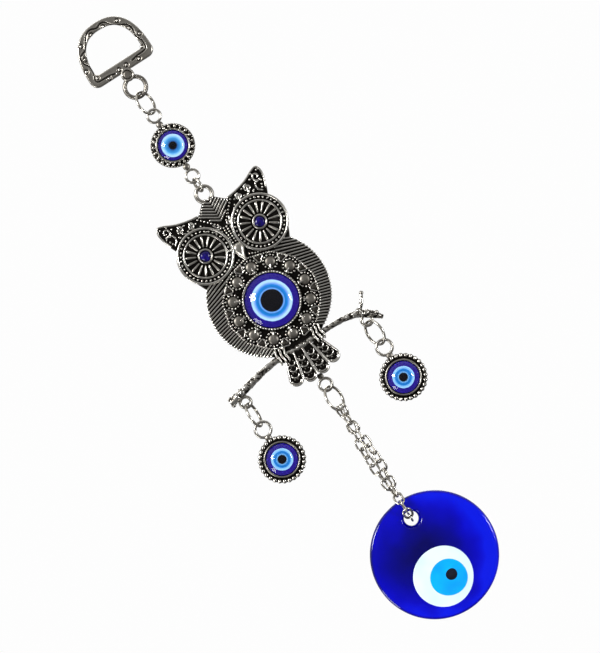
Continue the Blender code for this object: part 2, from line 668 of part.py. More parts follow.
def make_rings():
    """The five jump rings, and the heights of the two charm rings."""
    plan = {
        "top": (0.0, TOP_RING_Z, TOP_RING_R, RING_TURN),
        "owl": (0.0, OWL_RING_Z, OWL_RING_R, -RING_TURN * 0.6),
        "tail": (0.0, TAIL_RING_Z, TAIL_RING_R, RING_TURN),
    }
    charm_z = {}
    for side, (x, up), turn in (("left", LEFT_LOOP, LEFT_RING_TURN), ("right", RIGHT_LOOP, -RING_TURN)):
        low = BELLY_Z + up - BRANCH_LOOP_R
        charm_z[side] = low + BRANCH_LOOP_WIRE + RING_WIRE + GAP - CHARM_RING_R
        plan[side] = (x, charm_z[side], CHARM_RING_R, turn)
    rings = {}
    for name, (x, z, radius, turn) in plan.items():
        rings[name] = finish(as_mesh(hoop((x, 0.0, z), radius, RING_WIRE, turn)), name + "_jump_ring", NICKEL)
    return rings, charm_z


def pivot(name, at, under, pieces):
    """An empty on a joint's axis, hung under another one, that carries the pieces turning there."""
    empty = bpy.data.objects.new(name + "_pivot", None)
    empty.empty_display_size = 2 * MM
    PARTS.objects.link(empty)
    empty.parent = under
    empty.location = Vector(at)
    if under is not None:
        bpy.context.view_layer.update()
        empty.location -= under.matrix_world.translation
    for piece in pieces:
        piece.parent = empty
        piece.matrix_parent_inverse = Matrix.Translation(at).inverted()
    return empty


def build():
    hanger = pivot("hanger", (0.0, 0.0, 0.0), None, [make_hanger()])
    rings, charm_z = make_rings()
    top = pivot("top_ring", (0.0, 0.0, HANGER_LOOP_Z - HANGER_LOOP_R), hanger, [rings["top"]])
    connector = pivot("connector", (0.0, 0.0, TOP_RING_Z - TOP_RING_R), top, make_connector())
    owl_ring = pivot("owl_ring", (0.0, 0.0, LOWER_LOOP_Z - LOOP_R), connector, [rings["owl"]])
    owl_pieces = [*make_owl(), make_perch(), make_tail()]
    owl = pivot("owl", (0.0, 0.0, OWL_RING_Z - OWL_RING_R), owl_ring, owl_pieces)
    for side, (x, up) in (("left", LEFT_LOOP), ("right", RIGHT_LOOP)):
        ring = pivot(side + "_ring", (x, 0.0, BELLY_Z + up - BRANCH_LOOP_R), owl, [rings[side]])
        charm = make_charm(side, x, charm_z[side])
        pivot(side + "_charm", (x, 0.0, charm_z[side] - CHARM_RING_R), ring, charm)
    above = pivot("tail_ring", (0.0, 0.0, TAIL_LOOP_Z - TAIL_LOOP_R), owl, [rings["tail"]])
    pairs, bight, hole_z = make_chain()
    for k, pair in enumerate(pairs):
        rise = RING_RISE / 2 + TAIL_RING_Z - TAIL_RING_R - CHAIN_TOP_Z if k == 0 else 0.0
        at = (0.0, 0.0, CHAIN_TOP_Z + rise - PAIR_DROP * k)
        above = pivot(f"chain_pair_{k + 1:02d}", at, above, pair)
    above = pivot("chain_bight", (0.0, 0.0, BIGHT_Z), above, bight)
    pivot("glass_eye", (0.0, 0.0, hole_z), above, make_glass(hole_z))


build()
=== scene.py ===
import json
from math import asin, copysign, cos, hypot, pi, radians, sin, sqrt

import bmesh
import bpy
import numpy as np
from mathutils import Matrix, Vector, noise


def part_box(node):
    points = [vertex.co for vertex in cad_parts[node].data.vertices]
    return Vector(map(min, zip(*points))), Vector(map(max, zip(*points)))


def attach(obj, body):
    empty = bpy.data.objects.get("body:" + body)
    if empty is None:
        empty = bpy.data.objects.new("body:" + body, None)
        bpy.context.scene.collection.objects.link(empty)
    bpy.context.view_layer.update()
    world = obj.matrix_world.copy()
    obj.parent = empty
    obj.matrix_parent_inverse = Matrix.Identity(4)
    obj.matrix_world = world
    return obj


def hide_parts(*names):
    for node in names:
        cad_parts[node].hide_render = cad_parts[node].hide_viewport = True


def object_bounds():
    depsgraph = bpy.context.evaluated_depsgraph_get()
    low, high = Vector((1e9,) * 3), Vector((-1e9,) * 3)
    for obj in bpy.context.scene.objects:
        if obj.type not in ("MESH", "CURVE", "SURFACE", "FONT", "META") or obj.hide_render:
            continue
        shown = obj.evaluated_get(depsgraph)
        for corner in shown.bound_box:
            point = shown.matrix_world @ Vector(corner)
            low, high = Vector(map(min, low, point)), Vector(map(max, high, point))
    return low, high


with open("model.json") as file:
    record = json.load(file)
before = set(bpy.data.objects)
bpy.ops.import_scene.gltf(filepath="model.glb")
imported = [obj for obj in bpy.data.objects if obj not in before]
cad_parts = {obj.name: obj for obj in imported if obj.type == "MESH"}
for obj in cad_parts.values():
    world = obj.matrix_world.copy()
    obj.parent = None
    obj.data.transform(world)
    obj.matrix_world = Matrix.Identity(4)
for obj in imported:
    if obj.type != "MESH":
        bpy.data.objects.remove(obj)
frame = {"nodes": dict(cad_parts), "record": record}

CAD_BOX = [list(corner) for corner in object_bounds()]
MM = 0.001
TAU = 2 * pi
noise.seed_set(1)           # noise vectors start from the clock otherwise, and differ from run to run


# ---------------------------------------------------------------- places
def polar(radius, angle, x=0.0, z=0.0):
    """A point in the plane of the face, by its distance and angle from x, z."""
    return x + radius * cos(angle), z + radius * sin(angle)


def middle(node):
    """Centre of a node's box in millimetres."""
    low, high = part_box(node)
    return [(a + b) / 2 / MM for a, b in zip(low, high)]


def half_width(node):
    low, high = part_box(node)
    return (high[0] - low[0]) / 2 / MM


def front_and_back(node):
    """How far a node reaches forwards and backwards of the frame's middle, in millimetres."""
    low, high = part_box(node)
    return -low[1] / MM, -high[1] / MM


def loop_height(node, upper, radius, wire):
    """Height of the centre of the loop at a node's top or bottom, in millimetres."""
    low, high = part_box(node)
    return (high[2] / MM - radius - wire) if upper else (low[2] / MM + radius + wire)


def node_points(node):
    obj = frame["nodes"][node]
    flat = np.empty(len(obj.data.vertices) * 3)
    obj.data.vertices.foreach_get("co", flat)
    return flat.reshape(-1, 3) / MM


def lie(node):
    """Centre of a ring or link, and its long, wide and thin directions."""
    points = np.unique(np.round(node_points(node), 4), axis=0)
    mean = points.mean(0)
    axes = np.linalg.svd(points - mean, full_matrices=False)[2]
    extent = (points - mean) @ axes.T
    return mean + ((extent.min(0) + extent.max(0)) / 2) @ axes, axes


# ---------------------------------------------------------------- shells
class Shells:
    """Closed shells gathered into one piece. A place is x, depth to the front and z in millimetres from
    an origin, and each point has a shine from 0 in a dark recess to 1 on a rubbed crest; on a wire it is a
    painted highlight."""

    def __init__(self, x=0.0, z=0.0):
        self.x, self.z = x, z
        self.points, self.faces, self.shine = [], [], []

    def add(self, points, faces, shine):
        base = len(self.points)
        self.points += [tuple(p) for p in points]
        self.faces += [tuple(base + i for i in f) for f in faces]
        self.shine += list(shine)

    def stack(self, loops, shine, closed=False):
        """Skins a row of equal loops; a loop may be one point at either end."""
        points, starts, marks = [], [], []
        for loop, mark in zip(loops, shine):
            starts.append(len(points))
            points += list(loop)
            marks += list(mark) if hasattr(mark, "__len__") else [mark] * len(loop)
        faces = []
        count = len(loops)
        for k in range(count if closed else count - 1):
            a, b = loops[k], loops[(k + 1) % count]
            i, j = starts[k], starts[(k + 1) % count]
            n = max(len(a), len(b))
            for m in range(n):
                o = (m + 1) % n
                if len(a) == 1:
                    faces.append((i, j + m, j + o))
                elif len(b) == 1:
                    faces.append((i + m, j, i + o))
                else:
                    faces.append((i + m, j + m, j + o, i + o))
        if not closed:
            for first, loop, way in ((starts[0], loops[0], 1), (starts[-1], loops[-1], -1)):
                if len(loop) > 2:
                    faces.append(tuple(first + m for m in range(len(loop)))[::way])
        self.add(points, faces, marks)

    def tube(self, path, radius, low=0.15, high=0.9, sides=8, closed=False, squash=1.0, depth=None):
        """A wire laid on the face of the piece. Its crest is bright and its foot dark."""
        pts = [np.array(p if len(p) == 3 else (p[0], depth, p[1]), float) for p in path]
        n = len(pts)
        radii = radius if hasattr(radius, "__len__") else [radius] * n
        tangents = []
        for k in range(n):
            a = pts[k - 1] if closed or k else pts[0]
            b = pts[(k + 1) % n] if closed or k < n - 1 else pts[-1]
            t = b - a
            tangents.append(t / max(np.linalg.norm(t), 1e-9))
        up = np.array((0.0, 1.0, 0.0))
        stations = [(pts[k], tangents[k], radii[k]) for k in range(n)]
        if not closed:
            first, last = stations[0], stations[-1]
            lead = (first[0] - first[1] * first[2] * 0.6, first[1], first[2] * 0.78)
            tail = (last[0] + last[1] * last[2] * 0.6, last[1], last[2] * 0.78)
            stations = [lead, *stations, tail]
        loops, marks = [], []
        for at, t, r in stations:
            side = np.cross(t, up)
            side /= max(np.linalg.norm(side), 1e-9)
            rise = np.cross(side, t)
            loop, mark = [], []
            for m in range(sides):
                a = TAU * m / sides
                loop.append(at + side * r * cos(a) + rise * r * squash * sin(a))
                mark.append(low + (high - low) * min(1.0, max(0.0, 0.25 + 0.85 * sin(a))))
            loops.append(loop)
            marks.append(mark)
        if not closed:
            loops = [[first[0] - first[1] * first[2]], *loops, [last[0] + last[1] * last[2]]]
            middle_mark = (low + high) / 2
            marks = [[middle_mark], *marks, [middle_mark]]
        self.stack(loops, marks, closed=closed)

    def ring(self, x, z, depth, radius, wire, low=0.15, high=0.9, sides=10):
        steps = max(28, int(radius * 9))
        path = [polar(radius, TAU * n / steps, x, z) for n in range(steps)]
        self.tube(path, wire, low, high, sides, closed=True, depth=depth)

    def bead(self, x, z, depth, r, low=0.1, high=1.0, across=8, down=5, squash=1.0):
        loops, marks = [[(x, depth + r * squash, z)]], [[high]]
        for k in range(1, down):
            a = pi * k / down
            level = depth + r * squash * cos(a)
            spots = [polar(r * sin(a), TAU * m / across, x, z) for m in range(across)]
            loops.append([(px, level, pz) for px, pz in spots])
            marks.append(low + (high - low) * max(0.0, cos(a)))
        loops.append([(x, depth - r * squash, z)])
        marks.append([low])
        self.stack(loops, marks)

    def beads(self, x, z, radius, depth, r, count, start=0.0, jitter=0.0, seed=0, **kind):
        for n in range(count):
            a = start + TAU * n / count
            stray = noise.noise_vector(Vector((n * 1.7, seed * 3.1, 0.5))) * jitter
            px, pz = polar(radius + stray.x, a + stray.y * 0.1, x, z)
            self.bead(px, pz, depth + stray.z * 0.3, r * (1 + stray.y * 0.5), **kind)

    def turned(self, x, z, profile, shine, steps=48, lobes=None):
        """A shell turned about the front-back line, from (radius, depth) pairs. Radius 0 is a pole."""
        loops, marks = [], []
        for (r, depth), mark in zip(profile, shine):
            if r == 0:
                loops.append([(x, depth, z)])
                marks.append([mark])
                continue
            loop = []
            for m in range(steps):
                a = TAU * m / steps
                px, pz = polar(r * (lobes(a) if lobes else 1.0), a, x, z)
                loop.append((px, depth, pz))
            loops.append(loop)
            marks.append(mark)
        self.stack(loops, marks)

    def pillow(self, outline, base, height, low, high, skirt=0.5, centre=None):
        """A soft pad over an outline of (x, z) points that its centre can see all of."""
        line = np.array(outline, float)
        heart = line.mean(0) if centre is None else np.array(centre, float)
        loops, marks = [], []
        shape = ((1.0, -skirt), (1.0, 0.0), (0.93, 0.4), (0.8, 0.68), (0.6, 0.87), (0.32, 0.97))
        for scale, rise in shape:
            depth = base + (rise * height if rise >= 0 else rise)
            loops.append([(heart[0] + (x - heart[0]) * scale, depth, heart[1] + (z - heart[1]) * scale)
                          for x, z in line])
            marks.append(low + (high - low) * max(0.0, rise) ** 0.8)
        loops.append([(heart[0], base + height, heart[1])])
        marks.append([high])
        self.stack(loops, marks)

    def plate(self, outline, front, back, edge, shine):
        """A plate with rounded edges."""
        rim, behind = 0.35, 0.4
        line = np.array(outline, float)
        ahead = np.roll(line, -1, 0)
        t = ahead - np.roll(line, 1, 0)
        t /= np.maximum(np.linalg.norm(t, axis=1, keepdims=True), 1e-9)
        area = 0.5 * np.sum(line[:, 0] * ahead[:, 1] - ahead[:, 0] * line[:, 1])
        inward = np.stack((-t[:, 1], t[:, 0]), 1) * (1 if area > 0 else -1)
        rows = (
            (edge + 0.2, -back, behind), (edge, -back, behind), (edge * 0.3, edge * 0.3 - back, rim),
            (0.0, edge - back, rim), (0.0, front - edge, rim), (edge * 0.3, front - edge * 0.3, rim),
            (edge, front, shine), (edge + 0.2, front, shine),
        )
        loops = [[(x, depth, z) for x, z in line + inward * inset] for inset, depth, _ in rows]
        self.stack(loops, [mark for *_, mark in rows])

    def piece(self, name, body, nodes, mat, sharp=None, origin=None):
        """The gathered shells as one object that rides on a body and stands for CAD nodes."""
        points = np.array(self.points, float)
        world = np.stack((points[:, 0] + self.x, -points[:, 1], points[:, 2] + self.z), 1) * MM
        at = np.zeros(3) if origin is None else np.array(origin, float) * MM
        return make_piece(name, world, self.faces, body, nodes, mat, self.shine, sharp, at)


def add_object(name, data):
    obj = bpy.data.objects.new(name, data)
    bpy.context.scene.collection.objects.link(obj)
    return obj


def make_piece(name, world, faces, body, nodes, mat, shine=None, sharp=None, at=(0.0, 0.0, 0.0)):
    mesh = bpy.data.meshes.new(name)
    at = np.array(at, float)
    mesh.from_pydata((np.asarray(world) - at).tolist(), [], faces)
    mesh.validate()
    if shine is not None:
        layer = mesh.attributes.new("shine", "FLOAT", "POINT")
        layer.data.foreach_set("value", np.array(shine, float))
    mesh.shade_smooth()
    fix_normals(mesh)
    if sharp:
        mesh.set_sharp_from_angle(angle=radians(sharp))
    obj = add_object(name, mesh)
    obj.location = at
    mesh.materials.append(mat)
    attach(obj, body)
    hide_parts(*nodes)
    return obj


def fix_normals(mesh):
    bm = bmesh.new()
    bm.from_mesh(mesh)
    bmesh.ops.recalc_face_normals(bm, faces=bm.faces)
    bm.to_mesh(mesh)
    bm.free()


# ---------------------------------------------------------------- materials
class Nodes:
    """Short calls for the nodes of a world, or of a new material given by its name."""

    def __init__(self, owner):
        self.owner = bpy.data.materials.new(owner) if isinstance(owner, str) else owner
        self.owner.use_nodes = True
        self.tree = self.owner.node_tree
        self.tree.nodes.clear()

    def node(self, kind, inputs=None, **settings):
        made = self.tree.nodes.new("ShaderNode" + kind)
        for key, value in settings.items():
            setattr(made, key, value)
        for key, value in (inputs or {}).items():
            self.put(made.inputs[key], value)
        return made

    def put(self, socket, value):
        if isinstance(value, bpy.types.NodeSocket):
            self.tree.links.new(value, socket)
        elif hasattr(value, "__len__") and len(value) == 3 and socket.type == "RGBA":
            socket.default_value = (*value, 1.0)
        else:
            socket.default_value = value

    def ramp(self, value, stops):
        made = self.node("ValToRGB", {"Fac": value})
        elements = made.color_ramp.elements
        while len(elements) < len(stops):
            elements.new(0.5)
        for element, (at, colour) in zip(elements, stops):
            element.position = at
            element.color = (*colour, 1.0) if hasattr(colour, "__len__") else (colour, colour, colour, 1.0)
        return made.outputs["Color"]

    def maths(self, operation, a, b=0.0, c=0.0):
        made = self.node("Math", operation=operation)
        self.put(made.inputs[0], a)
        self.put(made.inputs[1], b)
        self.put(made.inputs[2], c)
        return made.outputs[0]

    def swing(self, value, amount):
        """A value from 0 to 1 as a change of up to half the amount either way."""
        return self.maths("MULTIPLY", self.maths("SUBTRACT", value, 0.5), amount)

    def place(self):
        return self.node("TexCoord").outputs["Object"]

    def share(self, radius):
        """Distance from the object's own origin as a share of a radius in millimetres."""
        away = self.node("VectorMath", {0: self.place()}, operation="LENGTH")
        return self.maths("DIVIDE", away.outputs["Value"], radius * MM)

    def noise(self, scale, detail=3.0):
        inputs = {"Vector": self.place(), "Scale": scale, "Detail": detail, "Roughness": 0.55}
        return self.node("TexNoise", inputs).outputs["Fac"]

    def bump(self, height, distance, strength=1.0):
        return self.node(
            "Bump", {"Height": height, "Distance": distance, "Strength": strength}
        ).outputs["Normal"]

    def surface(self, **inputs):
        shader = self.node("BsdfPrincipled")
        for key, value in inputs.items():
            self.put(shader.inputs[key.replace("_", " ")], value)
        out = self.node("OutputMaterial")
        self.tree.links.new(shader.outputs[0], out.inputs["Surface"])
        return self.owner


def pewter(name):
    """Antique plating: black in the recesses, warm grey on the flats, rubbed silver on the crests."""
    n = Nodes(name)
    shine = n.node("Attribute", attribute_name="shine").outputs["Fac"]
    blotch = n.noise(420.0, 4.0)
    fine = n.noise(2600.0, 2.0)
    worn = n.maths("ADD", n.maths("ADD", shine, n.swing(blotch, 0.45)), n.swing(fine, 0.22))
    colour = n.ramp(worn, [
        (0.06, (0.010, 0.009, 0.008)), (0.28, (0.055, 0.050, 0.044)), (0.50, (0.24, 0.225, 0.20)),
        (0.76, (0.55, 0.53, 0.485)), (1.0, (0.88, 0.87, 0.83)),
    ])
    rough = n.ramp(worn, [(0.0, 0.62), (0.5, 0.40), (1.0, 0.20)])
    height = n.maths("ADD", n.maths("MULTIPLY", blotch, 0.6), n.maths("MULTIPLY", fine, 0.4))
    return n.surface(
        Base_Color=colour, Metallic=1.0, Roughness=rough, Normal=n.bump(height, 0.00006, 0.8),
    )


def nickel(name):
    """Plated wire with a painted highlight along its front and back and round the outside of a bend, and dull
    patches.
    """
    n = Nodes(name)
    shine = n.node("Attribute", attribute_name="shine").outputs["Fac"]
    tint = n.noise(500.0, 3.0)
    fine = n.noise(1800.0, 2.0)
    # painted highlight: the shine made from the wire's shape lightens its front, back and outer side
    colour = n.ramp(n.maths("ADD", shine, n.swing(tint, 0.8)), [
        (0.05, (0.03, 0.027, 0.023)), (0.30, (0.17, 0.155, 0.13)), (0.60, (0.46, 0.44, 0.39)),
        (0.95, (0.82, 0.80, 0.75)),
    ])
    rough = n.ramp(fine, [(0.3, 0.16), (0.7, 0.34)])
    return n.surface(Base_Color=colour, Metallic=1.0, Roughness=rough, Normal=n.bump(fine, 0.00003, 0.6))


def eye_print(name, radius, stops):
    """Rings of colour about the object's own origin, radius in millimetres."""
    n = Nodes(name)
    wobbly = n.maths("ADD", n.share(radius), n.swing(n.noise(700.0), 0.03))
    colour = n.ramp(wobbly, [(r / radius, c) for r, c in stops])
    return n.surface(
        Base_Color=colour, Roughness=0.6, Specular_IOR_Level=0.1,
        Normal=n.bump(n.noise(1500.0), 0.00002, 0.3),
    )


def clear(name):
    """Polished clear glass as a reflecting skin over what lies under it."""
    n = Nodes(name)
    skin = n.node("BsdfGlossy", {"Color": (1.0, 1.0, 1.0), "Roughness": 0.04})
    smudge = n.bump(n.noise(120.0, 1.0), 0.00004, 0.015)
    n.put(skin.inputs["Normal"], smudge)
    gap = n.node("BsdfTransparent", {"Color": (0.97, 0.98, 1.0)})
    facing = n.node("Fresnel", {"IOR": 1.36, "Normal": smudge}).outputs[0]
    inside = n.node("NewGeometry").outputs["Backfacing"]
    # the dome's flat underside would otherwise turn into a mirror when seen at a slant
    mirror = n.maths("MULTIPLY", facing, n.maths("SUBTRACT", 1.0, inside))
    mix = n.node("MixShader", {0: mirror, 1: gap.outputs[0], 2: skin.outputs[0]})
    out = n.node("OutputMaterial")
    n.tree.links.new(mix.outputs[0], out.inputs["Surface"])
    return n.owner


def gloss(name, dark, light, rough, scale, coat=0.4):
    """Glossy glass with soft clouds of colour and a faintly wavy surface."""
    n = Nodes(name)
    return n.surface(
        Base_Color=n.ramp(n.noise(scale, 2.0), [(0.3, dark), (0.7, light)]), Roughness=rough,
        Coat_Weight=coat, Coat_Roughness=0.03, Specular_IOR_Level=0.3,
        Normal=n.bump(n.noise(90.0, 1.0), 0.0001, 0.35),
    )


def cobalt(name, radius):
    """Deep blue glass in soft clouds, lighter away from its middle, with painted light towards the lower
    right and a thin painted shade round its rim."""
    n = Nodes(name)
    share = n.share(radius)
    part = n.node("SeparateXYZ", {0: n.place()})
    # painted light: the glass is made lighter towards the lower right
    right = n.maths("MULTIPLY", part.outputs["X"], 8.4)
    down = n.maths("MULTIPLY", part.outputs["Z"], -3.6)
    clouds_and_painted_light = n.maths("ADD", share, n.swing(n.noise(55.0, 2.0), 0.9))
    clouds_and_painted_light = n.maths("ADD", clouds_and_painted_light, n.maths("ADD", right, down))
    # painted shade: a thin dark band just inside the rim
    dark = n.maths("MULTIPLY", n.ramp(share, [(0.955, 0.0), (0.99, 1.0)]), 0.5)
    colour = n.ramp(n.maths("SUBTRACT", clouds_and_painted_light, dark), [
        (0.20, (0.0, 0.0, 0.08)), (0.50, (0.0, 0.0, 0.20)), (0.78, (0.0, 0.0, 0.38)),
        (0.90, (0.0, 0.002, 0.50)), (1.0, (0.0, 0.006, 0.60)),
    ])
    return n.surface(
        Base_Color=colour, Roughness=0.12, Coat_Weight=0.3, Coat_Roughness=0.03,
        Specular_IOR_Level=0.25, Normal=n.bump(n.noise(70.0, 1.5), 0.0002, 0.35),
    )


def plain(name, colour, rough):
    n = Nodes(name)
    tone = n.ramp(n.noise(6.0, 3.0), [(0.3, tuple(c * 0.985 for c in colour)), (0.7, colour)])
    return n.surface(Base_Color=tone, Roughness=rough)


PEWTER = pewter("antique_pewter")
NICKEL = nickel("nickel_wire_painted_highlight")
CLEAR = clear("clear_cabochon")
NAVY, BLACK = (0.012, 0.003, 0.20), (0.002, 0.002, 0.004)
PALE, BLUE = (0.42, 0.66, 1.0), (0.006, 0.15, 0.47)


# ---------------------------------------------------------------- hanger
HANGER_TALL, HANGER_BAND, HANGER_SILL = 20.6, 3.3, 4.1
ARCH_FULLNESS = 0.8                       # 1 is an ellipse, less has squarer shoulders
HANGER_LOOP = {"radius": 3.8, "wire": 0.8}


def d_line(half, top, bottom, corner, steps=60):
    """A letter D lying on its straight side, with full shoulders."""
    spring = bottom + corner
    points = []
    for cx, start in ((-half + corner, 180), (half - corner, 270)):
        points += [polar(corner, radians(start + 90 * n / 8), cx, spring) for n in range(9)]
    for n in range(1, steps):
        a = pi * n / steps
        across = copysign(abs(cos(a)) ** ARCH_FULLNESS, cos(a))
        points.append((half * across, spring + (top - spring) * sin(a) ** ARCH_FULLNESS))
    return np.array(points)


def reach(line, heart, angles):
    """How far an outline lies from a point inside it, along each angle."""
    rel = line - heart
    out = []
    for a in angles:
        d = np.array((cos(a), sin(a)))
        p, q = rel, np.roll(rel, -1, 0)
        e = q - p
        cross = d[0] * e[:, 1] - d[1] * e[:, 0]
        cross = np.where(np.abs(cross) < 1e-12, 1e-12, cross)
        t = (p[:, 0] * e[:, 1] - p[:, 1] * e[:, 0]) / cross
        u = (p[:, 0] * d[1] - p[:, 1] * d[0]) / cross
        hit = (t > 0) & (u >= -1e-9) & (u <= 1 + 1e-9)
        out.append(t[hit].max())
    return np.array(out)


HANGER_WAVE = (
    (-3.5, -16.4), (-5.8, -15.9), (-8.2, -15.8), (-10.2, -15.6), (-10.8, -14.3), (-10.1, -12.6),
    (-9.9, -9.4), (-11.1, -7.2), (-10.7, -4.8), (-8.0, -3.5), (-6.3, -1.0), (-4.5, 1.1), (-2.5, 1.6),
    (-0.4, 0.9), (1.5, 1.6), (3.2, 1.1), (5.2, -1.3), (7.8, -2.8), (9.8, -4.1),
    (10.3, -6.4), (9.9, -9.0), (10.9, -11.1), (10.9, -13.5), (9.9, -14.8), (6.6, -15.1), (4.2, -15.6),
)
HANGER_GRAINS = (
    (-8.6, -1.6), (7.2, -0.7), (-11.9, -10.3), (11.5, -8.9), (-6.2, -16.6), (6.5, -16.3), (-3.3, -0.1),
    (1.8, 0.2),
    (-9.9, -6.4), (9.3, -5.2), (-9.8, -14.2), (9.5, -13.1), (-1.5, -15.9), (1.5, -15.8),
)


def line_distance(points, line):
    """Distance from each point to a polyline."""
    best = np.full(len(points), 1e9)
    for a, b in zip(line[:-1], line[1:]):
        run = b - a
        t = np.clip(((points - a) @ run) / max(run @ run, 1e-9), 0, 1)
        best = np.minimum(best, np.linalg.norm(points - (a + t[:, None] * run), axis=1))
    return best


def make_hanger():
    """A cast D with a wavy line cut in its face and a grain of metal in each bend of the line."""
    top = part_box("hanger_frame")[1][2] / MM
    bottom = top - HANGER_TALL
    half = half_width("hanger_frame")
    shells = Shells()
    outer = d_line(half, top, bottom, 3.0)
    inner = d_line(half - HANGER_BAND, 0.0, bottom + HANGER_SILL, 1.2)
    heart = np.array((0.0, -7.6))
    steps, lanes = 420, 30
    angles = [TAU * n / steps - pi / 2 for n in range(steps)]
    far, near = reach(outer, heart, angles), reach(inner, heart, angles)
    way = np.array([(cos(a), sin(a)) for a in angles])
    across = np.array([0.0, 0.015, 0.05, 0.10, *(0.10 + 0.80 * n / lanes for n in range(1, lanes)),
                       0.90, 0.95, 0.985, 1.0])
    out = near[:, None] + (far - near)[:, None] * across[None, :]
    flat = heart + way[:, None, :] * out[:, :, None]
    points = flat.reshape(-1, 2)
    wave = np.array(smooth_line(HANGER_WAVE, 6))
    off = line_distance(points, wave)
    groove = np.exp(-(off / 0.24) ** 2)
    lip = np.exp(-((off - 0.5) / 0.22) ** 2)
    pit = np.zeros(len(points))
    for grain in HANGER_GRAINS:
        away = np.linalg.norm(points - np.array(grain), axis=1)
        pit = np.maximum(pit, np.exp(-((away - 0.74) / 0.20) ** 2))
    cut = np.maximum(groove, 0.8 * pit)
    edge = np.clip((np.abs(2 * across - 1) - 0.70) / 0.30, 0, 1)
    edge = np.broadcast_to(edge, (steps, len(across))).reshape(-1)
    depth = 1.1 - 0.5 * (1 - np.sqrt(1 - edge ** 2)) + 0.05 * lip - 0.34 * cut
    tone = np.clip(0.66 + 0.12 * edge + 0.12 * lip - 0.62 * cut, 0.03, 1.0)
    depth, tone = depth.reshape(steps, -1), tone.reshape(steps, -1)
    loops, marks = [], []
    for i in range(steps):
        loop = [(x, d, z) for (x, z), d in zip(flat[i], depth[i])]
        mark = list(tone[i])
        for u, drop in ((1.0, 0.75), (0.95, 1.08), (0.5, 1.1), (0.05, 1.08), (0.0, 0.75)):
            x, z = heart + way[i] * (near[i] + (far[i] - near[i]) * u)
            loop.append((x, -drop, z))
            mark.append(0.42)
        loops.append(loop)
        marks.append(mark)
    shells.stack(loops, marks, closed=True)
    for x, z in HANGER_GRAINS:
        shells.bead(x, z, 0.95, 0.52, 0.25, 0.95, across=12, down=7, squash=0.8)
    # the round boss under the sill, then the loop below it
    shells.turned(0.0, bottom - 1.4, [
        (0, 1.22), (0.9, 1.25), (1.35, 1.2), (1.55, 0.98), (1.75, 1.2), (1.95, 1.42), (2.2, 1.32),
        (2.35, 1.0), (2.4, -0.8), (2.2, -0.95), (0, -0.95),
    ], [0.50, 0.52, 0.42, 0.03, 0.4, 0.85, 0.7, 0.45, 0.35, 0.4, 0.4])
    loop_z = loop_height("hanger_frame", False, **HANGER_LOOP)
    shells.ring(0.0, loop_z, 0.0, **HANGER_LOOP, high=0.52, sides=14)
    shells.beads(0.0, loop_z, HANGER_LOOP["radius"], 0.62, 0.34, 10, start=0.3, low=0.15, high=0.95)
    shells.piece("hanger_cast", "hanger", ["hanger_frame"], PEWTER)


# ---------------------------------------------------------------- owl
def smooth_line(points, per=6, closed=False):
    """A Catmull-Rom line through points."""
    pts = [np.array(p, float) for p in points]
    n = len(pts)
    out = []
    for k in range(n if closed else n - 1):
        p1, p2 = pts[k], pts[(k + 1) % n]
        p0 = pts[k - 1] if closed or k else 2 * p1 - p2
        p3 = pts[(k + 2) % n] if closed or k < n - 2 else 2 * p2 - p1
        for m in range(per):
            t = m / per
            out.append(0.5 * (2 * p1 + (p2 - p0) * t + (2 * p0 - 5 * p1 + 4 * p2 - p3) * t * t
                              + (3 * p1 - p0 - 3 * p2 + p3) * t ** 3))
    if not closed:
        out.append(pts[-1])
    return [tuple(p) for p in out]


WHEEL = (11.5, 26.0)                      # an eye wheel's centre from the belly eye's
BODY_W, BODY_H, BODY_UP = 22.4, 22.0, 2.0
STUDS, GARLAND_R, PAD_R = 12, 13.9, 15.9
OWL_LOOP = {"radius": 2.9, "wire": 0.75}
TAIL_LOOP = {"radius": 2.3, "wire": 0.55}


def owl_outline():
    right = [(9.6, -18.2)]
    for n in range(45):
        a = radians(-61.8 + (38 + 61.8) * n / 44)
        right.append((BODY_W * cos(a), BODY_UP + BODY_H * sin(a)))
    for n in range(20):
        right.append(polar(10.0, radians(-26 + 66 * n / 19), *WHEEL))
    right += smooth_line([(20.3, 35.0), (21.4, 38.6), (21.9, 41.4), (20.9, 43.5), (18.6, 42.9), (14.5, 40.9),
                          (9.8, 39.7), (6.4, 39.3), (4.2, 40.9), (2.6, 42.4)], 4)
    return right + [(-x, z) for x, z in reversed(right)]


def spiral(x, z, r0, r1, start, way, tail=()):
    """One turn about x, z, then the points of its tail."""
    points = [polar(r0 + (r1 - r0) * n / 16, start + way * TAU * n / 16, x, z) for n in range(17)]
    return points + list(tail)


def body_ridges(shells):
    """Feather ridges that slope down from the garland to the body's edge."""
    a = radians(-59.5)
    while a < radians(41):
        out = (BODY_W * 1.002 * cos(a), BODY_UP + BODY_H * 1.002 * sin(a))
        slope = radians(11 + 17 * min(1.0, abs((out[1] - 1) / 17)) ** 1.4)
        step = (-cos(slope), sin(slope))
        path = [out]
        while len(path) < 200:
            x, z = path[-1][0] + step[0] * 0.25, path[-1][1] + step[1] * 0.25
            in_wheel = hypot(x - WHEEL[0], z - WHEEL[1]) < 10.4
            if hypot(x, z) < 17.2 or in_wheel or x < 2.0:
                break
            path.append((x, z))
        if len(path) > 2:
            path = path[::4] + ([path[-1]] if (len(path) - 1) % 4 else [])
            for side in (-1, 1):
                line = [(side * x, z) for x, z in path]
                shells.tube(line, 0.29, 0.0, 1.05, squash=1.5, depth=1.12)
        speed = hypot(BODY_W * sin(a), BODY_H * cos(a))
        along = (-BODY_W * sin(a) * sin(slope) + BODY_H * cos(a) * cos(slope)) / speed
        a += 1.08 / speed / max(0.35, abs(along))


